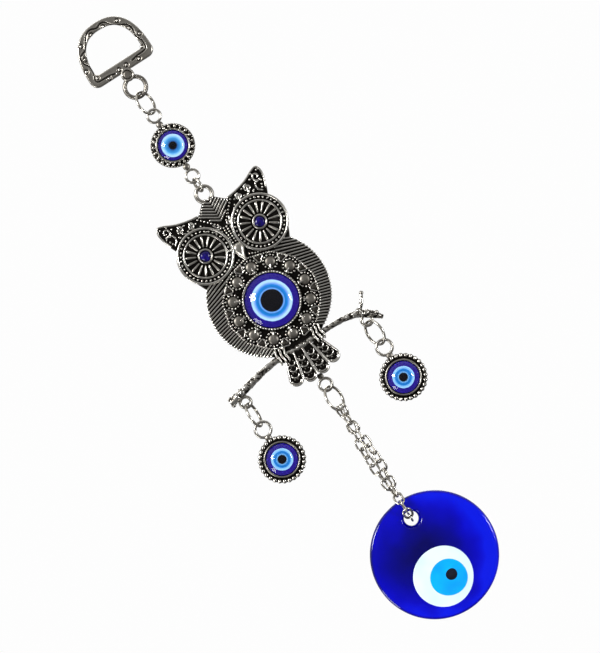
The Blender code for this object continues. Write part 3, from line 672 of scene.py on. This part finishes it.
def wheel(shells, x, z):
    shells.turned(x, z, [(0, 1.3), (9.7, 1.3), (10.3, 1.5), (10.3, -0.2), (0, -0.2)],
                  [0.03, 0.05, 0.3, 0.3, 0.3], steps=72)
    shells.ring(x, z, 1.62, 9.95, 0.46, 0.05, 0.98)
    shells.ring(x, z, 1.55, 7.72, 0.36, 0.05, 0.95)
    shells.beads(x, z, 8.85, 1.55, 0.45, 36, low=0.05)
    for n in range(17):
        a = TAU * (n + 0.3) / 17
        spoke = [polar(r, a, x, z) for r in (3.5, 4.6, 5.8, 6.8)]
        shells.tube(spoke, (0.26, 0.34, 0.44, 0.46), 0.03, depth=1.45)
    hub = [(0, 1.9), (1.95, 1.95), (2.1, 2.35), (2.35, 2.55), (2.62, 2.4), (2.78, 1.9), (2.78, 0.9), (0, 0.9)]
    shells.turned(x, z, hub, [0.1, 0.1, 0.5, 0.95, 0.8, 0.3, 0.1, 0.1], steps=40)


def garland(shells):
    """Flat studs in beaded rings, with small pads between them and a wavy border."""
    stud = [(0, 2.02), (0.8, 2.0), (1.3, 1.92), (1.7, 1.74), (1.93, 1.45), (1.97, 1.2), (1.97, 0.6), (0, 0.6)]
    for n in range(STUDS):
        a = pi / 2 + TAU * n / STUDS
        cx, cz = polar(GARLAND_R, a)
        shells.turned(cx, cz, stud, [0.62, 0.58, 0.53, 0.47, 0.38, 0.08, 0.02, 0.02], steps=24)
        shells.beads(cx, cz, 2.50, 1.42, 0.42, 13, start=a, low=0.0)
        prong = []
        for inwards, depth in ((0.7, 2.02), (1.3, 2.05), (2.1, 1.95), (2.6, 1.9)):
            px, pz = polar(GARLAND_R - inwards, a)
            prong.append((px, depth, pz))
        shells.tube(prong, (0.16, 0.30, 0.40, 0.36), 0.2, 1.0)
        b = a + TAU / STUDS / 2
        cx, cz = polar(PAD_R, b)
        if hypot(abs(cx) - WHEEL[0], cz - WHEEL[1]) < 10.6:
            continue
        tri = []
        for m in range(24):
            t = TAU * m / 24
            tri.append(polar(1.02 * (1 + 0.20 * cos(3 * (t - b - pi))), t, cx, cz))
        shells.pillow(tri, 1.2, 0.30, 0.08, 0.28)
        rim = [(cx + (x - cx) * 1.38, cz + (z - cz) * 1.38) for x, z in tri]
        shells.tube(rim, 0.24, 0.05, 0.95, closed=True, depth=1.25)
    count = 112
    for n in range(count):
        a = pi / 2 + TAU * n / count
        x, z = polar(17.15 + 0.25 * cos(STUDS * (a - pi / 2)), a)
        if hypot(abs(x) - WHEEL[0], z - WHEEL[1]) > 10.7 and z > -16.2:
            shells.bead(x, z, 1.3, 0.40, 0.0)


def head_details(shells):
    """Chevron on the brow, scrolls in the ears, beads between, and the beak."""
    for k in range(8):
        level = 33.8 + 1.22 * k
        arm = min((level - 33.0) / 0.24, 6.0, (44.0 - level) / 1.5)
        shells.tube([(x, 1.25, level + abs(x) * 0.64) for x in np.linspace(-arm, arm, 11)], 0.32, 0.0, 1.05,
                    squash=1.5)
    for side in (-1, 1):
        def put(line, r=0.33, depth=1.28, side=side):
            shells.tube([(side * x, z) for x, z in line], r, 0.03, 1.0, depth=depth)
        put(smooth_line([(6.6, 39.5), (9.8, 39.9), (14.5, 41.1), (18.6, 43.0), (20.7, 43.4), (21.6, 41.4),
                         (21.2, 38.6), (20.0, 35.4)], 4), 0.34, 1.2)
        put(spiral(19.0, 40.4, 0.55, 1.75, -0.9, 1,
                   [(17.6, 38.6), (17.0, 37.2), (17.4, 35.8), (18.4, 35.0)]))
        put(spiral(14.4, 38.7, 0.5, 1.5, 1.6, -1, [(14.0, 37.0), (13.0, 36.4)]))
        put(spiral(10.2, 37.7, 0.45, 1.35, 1.6, -1, [(9.8, 36.2), (9.0, 35.8)]))
        put(spiral(1.9, 31.9, 0.3, 0.85, 0.5, 1, [(2.9, 32.6), (3.3, 33.6)]), 0.28)
        dots = [(6.9 - 0.86 * n, 38.4 - 0.92 * n) for n in range(7)]
        dots += [(0.62, 31.0 - 1.02 * n) for n in range(7)]
        dots += [(19.4, 36.9), (18.9, 35.9), (20.0, 38.3), (15.8, 36.7), (16.5, 40.6), (12.2, 39.3),
                 (11.9, 36.8), (8.2, 37.6), (7.2, 35.9), (6.4, 34.9), (5.6, 33.9), (4.7, 32.9), (3.9, 31.2),
                 (2.9, 30.6), (6.7, 33.2), (1.9, 30.2), (20.3, 42.3), (15.4, 36.3), (17.8, 42.1)]
        for x, z in dots:
            shells.bead(side * x, z, 1.25, 0.42, 0.05)
        for n in range(6):
            shells.bead(side * (2.2 + 1.0 * n), 18.4 - 0.55 * n + 0.06 * n * n, 1.2, 0.36, 0.05, 0.95)
    beak = smooth_line([(0.2, 24.2), (-1.3, 23.7), (-1.9, 22.3), (-1.5, 20.6), (-0.7, 18.8), (0.3, 17.0),
                        (0.9, 18.8), (1.8, 20.6), (2.2, 22.3), (1.7, 23.7)], 6, closed=True)
    shells.pillow(beak, 1.3, 1.6, 0.55, 0.80, centre=(-0.1, 21.9))
    shells.tube(beak[4:30], 0.20, 0.2, 1.0, depth=1.6)
    shells.tube([(-2.0, 1.5, 22.9), (-2.9, 1.5, 23.2), (-3.8, 1.4, 23.0)], 0.22, 0.2, 1.0)


def feet(shells):
    for side in (-1, 1):
        pad = [(side * 7.6 + 1.9 * cos(t), -18.9 + 2.6 * sin(t))
               for t in np.linspace(0, TAU, 24, False)]
        shells.pillow(pad, 1.35, 0.35, 0.02, 0.06, skirt=0.7)
        for k, x in enumerate((6.1, 7.6, 9.1)):
            path = []
            for n in range(13):
                t = n / 12
                wave = 0.2 * sin(t * 9 + k)
                depth = 1.35 + 0.75 * sin(min(1.0, 0.12 + t * 0.85) * pi) ** 0.7
                path.append((side * x + wave, depth, -16.0 - 5.4 * t - 0.3 * (k == 1)))
            radii = [0.42 + 0.08 * sin(t * 14 + k) for t in np.linspace(0, 1, 13)]
            radii[-1] = 0.3
            shells.tube(path, radii, 0.0, 0.9)


def make_owl():
    belly = middle("belly_dome")
    shells = Shells(0.0, belly[2])
    shells.plate(owl_outline(), 1.1, 1.0, 0.35, shine=0.03)
    body_ridges(shells)
    for side in (-1, 1):
        wheel(shells, side * WHEEL[0], WHEEL[1])
    garland(shells)
    head_details(shells)
    feet(shells)
    # bezel with its milled edge round the belly eye
    bezel = [(0, 1.3), (9.95, 1.3), (10, 2.35), (10.2, 2.5), (10.5, 2.3), (10.85, 1.6), (10.9, 0.9), (0, 0.9)]
    shells.turned(0, 0, bezel, [0.1, 0.1, 0.45, 0.6, 0.3, 0.05, 0.02, 0.02], steps=120)
    shells.beads(0, 0, 10.35, 2.52, 0.44, 62)
    loop_z = loop_height("owl_casting", True, **OWL_LOOP) - belly[2]
    shells.ring(0.0, loop_z, 0.0, **OWL_LOOP, low=0.25, high=0.72, sides=14)
    shells.piece("owl_cast", "owl", ["owl_casting"], PEWTER)
    return belly


def make_perch(belly):
    """Bark: a lumpy tube whose lumps are rubbed bright."""
    shells = Shells(0.0, belly[2])

    def bark(line, radii, seed, sides=18):
        path = smooth_line(line, 26)
        n = len(path)
        r = np.interp(np.linspace(0, 1, n), np.linspace(0, 1, len(radii)), radii)
        loops, marks = [], []
        for k, (x, z) in enumerate(path):
            ax, az = path[max(0, k - 1)]
            bx, bz = path[min(n - 1, k + 1)]
            run = hypot(bx - ax, bz - az)
            sx, sz = -(bz - az) / run, (bx - ax) / run
            loop, mark = [], []
            for m in range(sides):
                a = TAU * m / sides
                spot = Vector((x, z + 1.6 * cos(a), sin(a) * 1.6 + seed))
                lump = noise.noise(spot * 0.8) + 0.9 * noise.noise(spot * 2.1)
                grow = r[k] * (1 + 0.17 * lump)
                if k in (0, n - 1):
                    grow *= 0.55
                out = grow * cos(a)
                loop.append((x + sx * out, 0.1 + grow * sin(a), z + sz * out))
                mark.append(min(1.0, max(0.02, 0.70 + 1.5 * lump)))
            loops.append(loop)
            marks.append(mark)
        shells.stack(loops, marks)

    bark([(-32.4, -22.9), (-30.5, -22.7), (-27, -22.0), (-22, -20.9), (-16, -19.6), (-10, -19.0), (-4, -19.3),
          (2, -19.3)], [1.6, 1.75, 1.6, 1.4, 1.3, 1.2, 1.2, 1.2], 2.0)
    bark([(-2, -19.3), (6, -19.25), (12, -19.1), (18, -19.4), (23, -20.5), (26.2, -22.3), (28.6, -24.4),
          (30.4, -26.3)], [1.15, 1.1, 1.0, 1.1, 1.35, 1.5, 1.2, 0.7], 7.0)
    bark([(23.0, -21.0), (25.0, -19.3), (26.6, -17.6), (28.0, -15.1)], [0.85, 0.75, 0.7, 0.62], 11.0, 12)
    for x, z, r in ((24.0, -19.7, 1.0), (28.3, -14.9, 0.8), (26.2, -18.0, 0.75), (29.2, -23.6, 0.8),
                    (-31.6, -24.2, 0.9), (-29.0, -23.6, 0.8)):
        shells.bead(x, z, 0.35, r, 0.15, 0.85, across=10, down=6)
    for loop_x, loop_z in ((-27.5, -25.6), (24.8, -24.2)):
        shells.ring(loop_x, loop_z, 0.0, 1.95, 0.6, 0.2, 0.75, sides=12)
    shells.piece("perch_bark", "owl", ["perch_branch"], PEWTER)


def make_tail(belly):
    """Four tongues with a rope edge and rows of dark scallops, and the loop for the chain."""
    shells = Shells(0.0, belly[2])
    half = 2.7
    for order, tip in enumerate(((-8.5, -31.0), (-2.95, -32.3), (2.8, -32.1), (8.6, -30.7))):
        root = np.array((tip[0] * 0.62, -20.1))
        tip = np.array(tip)
        away = (tip - root) / np.linalg.norm(tip - root)
        side = np.array((-away[1], away[0]))
        length = np.linalg.norm(tip - root)
        line = []
        for n in range(15):
            a = pi * (n / 14 - 0.5)
            line.append(tip - away * half + away * half * cos(a) + side * half * sin(a))
        line += [root + side * half * 0.72, root - side * half * 0.72]
        level = 1.12 + 0.05 * (order % 2)
        shells.plate([tuple(p) for p in line], level, 0.85 + 0.01 * order, 0.3, shine=0.0)
        line = [line[-1], *line[:-1]]
        inset = []
        for p in line:
            heart = root + away * np.clip(np.dot(p - root, away), 0, length - half)
            inset.append(heart + (p - heart) * 0.88)
        shells.tube(inset, 0.32, 0.15, 0.95, depth=level + 0.10)
        for k in range(4):
            s = length * (0.16 + 0.20 * k) + 0.5
            wide = 1.10 + 0.16 * k
            at = root + away * s
            scallop = []
            for n in range(11):
                a = pi * (n / 10 - 0.5)
                scallop.append(at + away * (0.20 + 1.15 * cos(a)) + side * wide * sin(a))
            shells.tube(scallop, 0.27, 0.05, 0.95, depth=level + 0.08)
            for p in (at + away * -0.35 + side * 0.62, at + away * -0.35 - side * 0.62):
                shells.bead(p[0], p[1], level, 0.24, 0.05, 0.6)
    loop_z = loop_height("tail_feathers", False, **TAIL_LOOP) - belly[2]
    neck = [(0, 0.62), (0.9, 0.55), (1.15, 0.2), (1.15, -0.3), (0.9, -0.6), (0, -0.62)]
    shells.turned(0.0, loop_z + 3.4, neck, [0.4] * 6, steps=20)
    shells.ring(0.0, loop_z, 0.0, **TAIL_LOOP, low=0.1, high=0.7, sides=12)
    shells.piece("tail_cast", "owl", ["tail_feathers"], PEWTER)


# ---------------------------------------------------------------- eyes
def make_eye(prefix, body, stops):
    """The printed disc and the smooth dome over it."""
    node = prefix + "_eye_print"
    x, _, z = middle(node)
    radius = half_width(node)
    front, back = front_and_back(node)
    profile = [(radius * k / 8, front) for k in range(9)] + [(radius, back), (0, back)]
    shells = Shells(x, z)
    shells.turned(0, 0, profile, [1.0] * len(profile), steps=96)
    mat = eye_print(prefix + "_print_rings", radius, stops)
    shells.piece(prefix + "_print", body, [node], mat, sharp=40, origin=(x, -front, z))
    front, back = front_and_back(prefix + "_dome")
    girdle = 0.35
    height = front - back - girdle
    cap = (radius ** 2 + height ** 2) / (2 * height)
    rise = asin(radius / cap)
    profile = [(0, front)]
    for k in range(1, 25):
        a = rise * k / 24
        profile.append((cap * sin(a), front - cap * (1 - cos(a))))
    profile += [(radius, back), (0, back)]
    dome = Shells(x, z)
    dome.turned(0, 0, profile, [1.0] * len(profile), steps=96)
    dome.piece(prefix + "_glass", body, [prefix + "_dome"], CLEAR, sharp=50)


def make_stone(side):
    node = side + "_eye_stone"
    x, _, z = middle(node)
    front, back = front_and_back(node)
    shells = Shells(x, z)
    turn = 0.5 if side == "left" else 1.1
    profile = [(0, front), (0.7, front - 0.04), (1.25, front - 0.18), (1.6, front - 0.45),
               (1.82, front - 0.8), (1.85, back), (0, back)]
    shells.turned(0, 0, profile, [1.0] * 7, steps=48, lobes=lambda a: 1 + 0.05 * cos(3 * (a - turn)))
    shells.piece(node + "_glass", "owl", [node], STONE)


def make_cup(prefix, outer, eye, rim_front, floor, back, loops, rows, ledge):
    """A beaded setting with its loops. The beads stand out past its plate by the ledge."""
    x, _, z = middle(prefix + "_eye_print")
    shells = Shells(x, z)
    wall, plate = eye + 0.1, outer - ledge
    shells.turned(0, 0, [
        (0, floor), (eye - 0.02, floor), (eye, rim_front - 0.15), (wall + 0.25, rim_front),
        (wall + 0.50, rim_front - 0.25), (wall + 0.6, rim_front - 0.85), (plate - 0.4, rim_front - 0.95),
        (plate - 0.1, rim_front - 1.1), (plate, rim_front - 1.5), (plate - 0.1, -back + 0.4),
        (plate - 0.5, -back), (0, -back),
    ], [0.1, 0.1, 0.5, 0.8, 0.35, 0.03, 0.05, 0.25, 0.4, 0.4, 0.4, 0.4], steps=96)
    for row in rows:
        shells.beads(0, 0, **row)
    for loop_z, radius, wire in loops:
        way = 1 if loop_z > z else -1
        near, far = outer - 0.6, abs(loop_z - z) - radius
        neck = [(0, 0.6), (1.0, 0.55), (1.3, 0.15), (1.3, -0.3), (1.0, -0.65), (0, -0.65)]
        shells.turned(0, way * (near + far) / 2, neck, [0.5, 0.5, 0.3, 0.3, 0.4, 0.4], steps=24)
        shells.ring(0, loop_z - z, 0.0, radius, wire, 0.2, 0.8, sides=12)
    shells.piece(prefix + "_cast", prefix, [prefix + "_setting"], PEWTER)


# ---------------------------------------------------------------- wires
def wire_piece(node, body, path, wire, sides):
    """A round closed wire along points in space, in millimetres."""
    pts = np.array(path)
    t = np.roll(pts, -1, 0) - np.roll(pts, 1, 0)
    t /= np.linalg.norm(t, axis=1, keepdims=True)
    flat = np.cross(pts[0] - pts[len(pts) // 3], pts[0] - pts[2 * len(pts) // 3])
    flat /= np.linalg.norm(flat)
    heart = pts.mean(0)
    loops, marks = [], []
    for at, along in zip(pts, t):
        side = np.cross(along, flat)
        outward = (at - heart) / np.linalg.norm(at - heart)
        loop, mark = [], []
        for m in range(sides):
            a = TAU * m / sides
            out = side * cos(a) + flat * sin(a)
            loop.append(at + wire * out)
            # painted highlight: lighter where the wire faces front or back and on the outside of the bend
            mark.append(0.34 + 0.16 * float(out @ outward) + 0.36 * abs(float(out[1])))
        loops.append(loop)
        marks.append(mark)
    skin = Shells()
    skin.stack(loops, marks, closed=True)
    verts = np.array(skin.points) * MM
    make_piece(node + "_wire", verts, skin.faces, body, [node], NICKEL, skin.shine)


def make_ring(node, body):
    centre, axes = lie(node)
    points = node_points(node)
    spread = np.linalg.norm((points - centre) @ axes[:2].T, axis=1)
    wire = np.abs((points - centre) @ axes[2]).max()
    radius = spread.max() - wire
    turns = [TAU * n / 72 for n in range(72)]
    path = [centre + radius * (axes[0] * cos(a) + axes[1] * sin(a)) for a in turns]
    wire_piece(node, body, path, wire, 16)


LINK_WIRE, LINK_LENGTH, LINK_WIDTH = 0.38, 4.45, 3.0     # length and width along the middle of the wire


def make_link(node, body):
    centre, (long, wide, _) = lie(node)
    r, straight = LINK_WIDTH / 2, (LINK_LENGTH - LINK_WIDTH) / 2
    path = []
    for way in (1, -1):
        for n in range(17):
            a = pi * n / 16
            path.append(centre + long * way * (straight + r * sin(a)) + wide * way * r * cos(a))
    wire_piece(node, body, path, LINK_WIRE, 12)


# ---------------------------------------------------------------- disc
EDGE, RIM_R = 21.8, 1.3                   # where the face meets the rounded rim, and that rim's radius
HALF, RIM_HALF = 2.9, 1.35                # half thickness at the middle and at the rim
HOLE_UP, HOLE_R = 15.5, 2.6


def lens(r):
    """Half thickness of the disc at a distance from its centre."""
    if r < EDGE:
        return RIM_HALF + (HALF - RIM_HALF) * (1 - (r / EDGE) ** 2) ** 0.8
    return RIM_HALF * sqrt(max(0.0, 1 - ((r - EDGE) / RIM_R) ** 2))


def thickness(x, z):
    full = lens(hypot(x, z))
    gap = hypot(x, z - HOLE_UP) - HOLE_R
    if gap > 5:
        return full
    gap = max(0.0, gap)
    lip = 0.9 * sqrt(max(0.0, 1 - (1 - min(1.0, gap / 0.2)) ** 2)) + gap / 0.73
    k = 0.35
    h = max(0.0, k - abs(full - lip)) / k
    return max(0.0, min(full, lip) - h * h * k / 4)


def make_disc():
    x0, _, z0 = middle("glass_disc")
    radius = half_width("glass_disc")
    rows, steps = 60, 168
    spacing = [0.5 * (1 - cos(pi * k / rows)) for k in range(rows + 1)]
    front, back = [], []
    for s in spacing:
        ring = []
        for m in range(steps):
            a = TAU * m / steps
            hx, hz = polar(HOLE_R, a, 0.0, HOLE_UP)
            ox, oz = polar(radius, a)
            x, z = hx + (ox - hx) * s, hz + (oz - hz) * s
            ring.append((x, thickness(x, z), z))
        front.append(ring)
        back.append([(x, -d, z) for x, d, z in ring])
    shells = Shells(x0, z0)
    loops = front + back[-2:0:-1]
    shells.stack(loops, [1.0] * len(loops), closed=True)
    blue = cobalt("cobalt_disc_glass", radius)
    shells.piece("disc_cobalt", "glass_eye", ["glass_disc"], blue, origin=(x0, 0.0, z0))
    drops = (
        ("glass_white", "disc_white", (-1.45, -8.06), 10.9, 0.02, 0.26, "white_glass", WHITE, 0.012, 0.4),
        ("glass_iris", "disc_iris", (0.0, -9.3), 6.7, 0.22, 0.22, "cyan_glass", CYAN, 0.012, 1.9),
        ("glass_pupil", "disc_pupil", (1.4, -8.9), 2.1, 0.42, 0.20, "black_glass", JET, 0.03, 0.9),
    )
    for node, name, (cx, cz), r, base, rise, slot, mat, wobble, turn in drops:
        loops, marks = [], []
        for k in range(17):
            t = sin(pi / 2 * k / 16)
            if k == 0:
                loops.append([(cx, lens(hypot(cx, cz)) + base + rise, cz)])
                marks.append([1.0])
                continue
            loop = []
            for m in range(120):
                a = TAU * m / 120
                out = r * t * (1 + wobble * sin(2 * a + turn) + wobble * 0.6 * sin(3 * a - turn))
                x, z = polar(out, a, cx, cz)
                bulge = base + rise * sqrt(max(0.0, 1 - t ** 2)) if t < 1 else -0.1
                loop.append((x, lens(hypot(x, z)) + bulge, z))
            loops.append(loop)
            marks.append(1.0)
        for share, sink in ((0.97, 0.35), (0.5, 0.4)):
            loops.append([(cx + (x - cx) * share, d - sink, cz + (z - cz) * share) for x, d, z in loops[16]])
            marks.append(1.0)
        loops.append([(cx, lens(hypot(cx, cz)) - 0.5, cz)])
        marks.append([1.0])
        drop = Shells(x0, z0)
        drop.stack(loops, marks)
        drop.piece(name, "glass_eye", [node], mat)


# ---------------------------------------------------------------- assembly
STONE = gloss("blue_stone_glass", (0.002, 0.001, 0.03), (0.008, 0.004, 0.14), 0.08, 900.0, coat=0.2)
WHITE = gloss("opal_white_glass", (0.50, 0.66, 0.84), (0.66, 0.80, 0.93), 0.10, 80.0)
CYAN = gloss("cyan_iris_glass", (0.0, 0.28, 0.84), (0.0, 0.40, 0.95), 0.10, 120.0)
JET = gloss("black_pupil_glass", (0.002, 0.002, 0.004), (0.008, 0.010, 0.02), 0.08, 300.0)

make_hanger()
belly = make_owl()
make_perch(belly)
make_tail(belly)

CHARM_RINGS = [
    (0.0, BLACK), (1.55, BLACK), (1.75, (0.16, 0.40, 0.70)), (2.0, (0.08, 0.28, 0.60)), (2.3, BLUE),
    (2.9, (0.01, 0.17, 0.50)), (3.2, (0.18, 0.45, 0.80)), (3.85, (0.34, 0.62, 0.92)), (4.05, NAVY),
    (5.7, NAVY),
]
make_eye("belly", "owl", [
    (0.0, BLACK), (4.0, BLACK), (4.15, (0.14, 0.33, 0.74)), (4.45, (0.12, 0.34, 0.74)), (4.75, BLUE),
    (5.6, (0.01, 0.20, 0.58)), (6.1, (0.16, 0.34, 0.78)), (6.7, PALE), (7.3, PALE), (7.5, NAVY), (9.7, NAVY),
])
make_eye("connector", "connector", [
    (0.0, BLACK), (1.35, BLACK), (1.6, (0.02, 0.09, 0.28)), (2.1, (0.03, 0.20, 0.50)),
    (2.7, (0.05, 0.28, 0.60)), (3.1, (0.18, 0.48, 0.80)), (3.6, (0.38, 0.64, 0.92)),
    (4.05, (0.42, 0.66, 0.92)), (4.25, NAVY), (5.3, NAVY),
])
for side in ("left", "right"):
    make_eye(side + "_charm", side + "_charm", CHARM_RINGS)
    make_stone(side)


make_cup("connector", 8.0, 5.6, 1.5, 0.3, 1.0,
         [(loop_height("connector_setting", upper, 2.35, 0.5), 2.35, 0.5) for upper in (True, False)],
         [dict(radius=6.95, depth=0.60, r=0.66, count=21, jitter=0.3, seed=1, low=0.0, high=0.9, across=12,
               down=7),
          dict(radius=7.65, depth=0.40, r=0.42, count=46, jitter=0.05, seed=5, low=0.0, high=0.8),
          dict(radius=6.2, depth=1.1, r=0.38, count=24, jitter=0.3, seed=2, start=0.1, low=0.0, high=0.9)],
         0.05)
for side in ("left", "right"):
    node = side + "_charm_setting"
    make_cup(side + "_charm", 8.9, 6.0, 1.6, 0.4, 1.1,
             [(loop_height(node, True, 2.85, 0.55), 2.85, 0.55)],
             [dict(radius=7.88, depth=0.55, r=0.84, count=28, jitter=0.06, seed=3, low=0.0, high=0.95,
                   across=12, down=7)],
             0.5)

node_body = {node: body for body, nodes in frame["record"]["behaviour"]["bodies"].items() for node in nodes}
for node, body in node_body.items():
    if node.endswith("_jump_ring"):
        make_ring(node, body)
    elif "_link_" in node:
        make_link(node, body)
make_disc()


# ---------------------------------------------------------------- stage
FLOOR_DROP, FLOOR_HALF = 0.15, 0.9
VIEW_TALL = 233.1 * MM                    # height of the view at the ornament
LEAN = radians(32.6)                 # how far the ornament lies over in the view


def make_floor():
    """A pale floor well below the ornament, out of its reflections."""
    low, size = CAD_BOX[0][2] - FLOOR_DROP, FLOOR_HALF
    mesh = bpy.data.meshes.new("floor")
    corners = [(-size, -size, low), (size, -size, low), (size, size, low), (-size, size, low)]
    mesh.from_pydata(corners, [], [(0, 1, 2, 3)])
    floor = add_object("floor", mesh)
    mesh.materials.append(plain("pale_floor", (0.93, 0.93, 0.93), 0.7))
    floor.visible_glossy = False


def lamp(name, place, target, size, power, tint=(1.0, 1.0, 1.0), tall=None):
    data = bpy.data.lights.new(name, "AREA")
    data.energy = power
    data.color = tint
    data.size = size
    if tall:
        data.shape = "RECTANGLE"
        data.size_y = tall
    obj = add_object(name, data)
    obj.location = place
    obj.rotation_mode = "QUATERNION"
    obj.rotation_quaternion = (Vector(target) - Vector(place)).to_track_quat("-Z", "Y")


def make_world():
    """Near white to the eye. Reflections see a dim room in front, brighter to the sides and above."""
    world = bpy.data.worlds.new("studio")
    bpy.context.scene.world = world
    n = Nodes(world)
    toward = n.node("TexCoord").outputs["Generated"]
    part = n.node("SeparateXYZ", {0: toward})
    ahead = n.ramp(n.maths("MULTIPLY_ADD", part.outputs["Y"], 0.5, 0.5), [
        (0.0, (0.26, 0.255, 0.25)), (0.20, (0.22, 0.215, 0.21)), (0.40, (0.62, 0.61, 0.60)),
        (0.50, (0.75, 0.74, 0.73)), (1.0, (0.45, 0.45, 0.46)),
    ])
    above = n.ramp(n.maths("MULTIPLY_ADD", part.outputs["Z"], 0.5, 0.5), [
        (0.0, 0.25), (0.5, 0.7), (1.0, 1.5),
    ])
    tone = n.node("Mix", data_type="RGBA", blend_type="MULTIPLY")
    tone.inputs["Factor"].default_value = 1.0
    n.put(tone.inputs["A"], ahead)
    n.put(tone.inputs["B"], above)
    soft = n.node("Background", {"Color": tone.outputs["Result"], "Strength": 1.0})
    pale = n.node("Background", {"Color": (0.985, 0.985, 0.985), "Strength": 1.0})
    ray = n.node("LightPath")
    seen = ray.outputs["Is Camera Ray"]
    mix = n.node("MixShader", {0: seen, 1: soft.outputs[0], 2: pale.outputs[0]})
    n.node("OutputWorld", {"Surface": mix.outputs[0]})


def make_camera():
    """Square on to the front, with the ornament lying slantwise in the frame."""
    right = Vector((cos(LEAN), 0.0, -sin(LEAN)))
    up = Vector((sin(LEAN), 0.0, cos(LEAN)))
    aim = Vector((3.43 * MM, 0.0, (belly[2] - 13.26) * MM))
    lens_mm, sensor = 200.0, 36.0
    away = VIEW_TALL / 2 / (sensor / 2 / lens_mm)
    data = bpy.data.cameras.new("camera")
    data.lens = lens_mm
    data.sensor_width = sensor
    data.clip_start = 0.05
    camera = add_object("camera", data)
    axes = Matrix((right, up, Vector((0.0, -1.0, 0.0)))).transposed().to_4x4()
    camera.matrix_world = Matrix.Translation(aim + Vector((0.0, -away, 0.0))) @ axes
    bpy.context.scene.camera = camera


make_floor()
make_world()
heart = (0.0, 0.0, belly[2] * MM)
lamp("key", (-0.70, -0.62, 0.50), heart, 0.36, 13.0, (1.0, 0.985, 0.96))
lamp("side", (0.62, -0.50, -0.34), heart, 0.05, 3.6, tall=0.26)
lamp("rim", (-0.75, -0.16, -0.45), heart, 0.30, 3.0, (1.0, 0.99, 0.97))
lamp("back", (0.1, 0.7, 0.3), heart, 0.6, 4.0)
make_camera()
bpy.context.scene.view_settings.view_transform = "Standard"
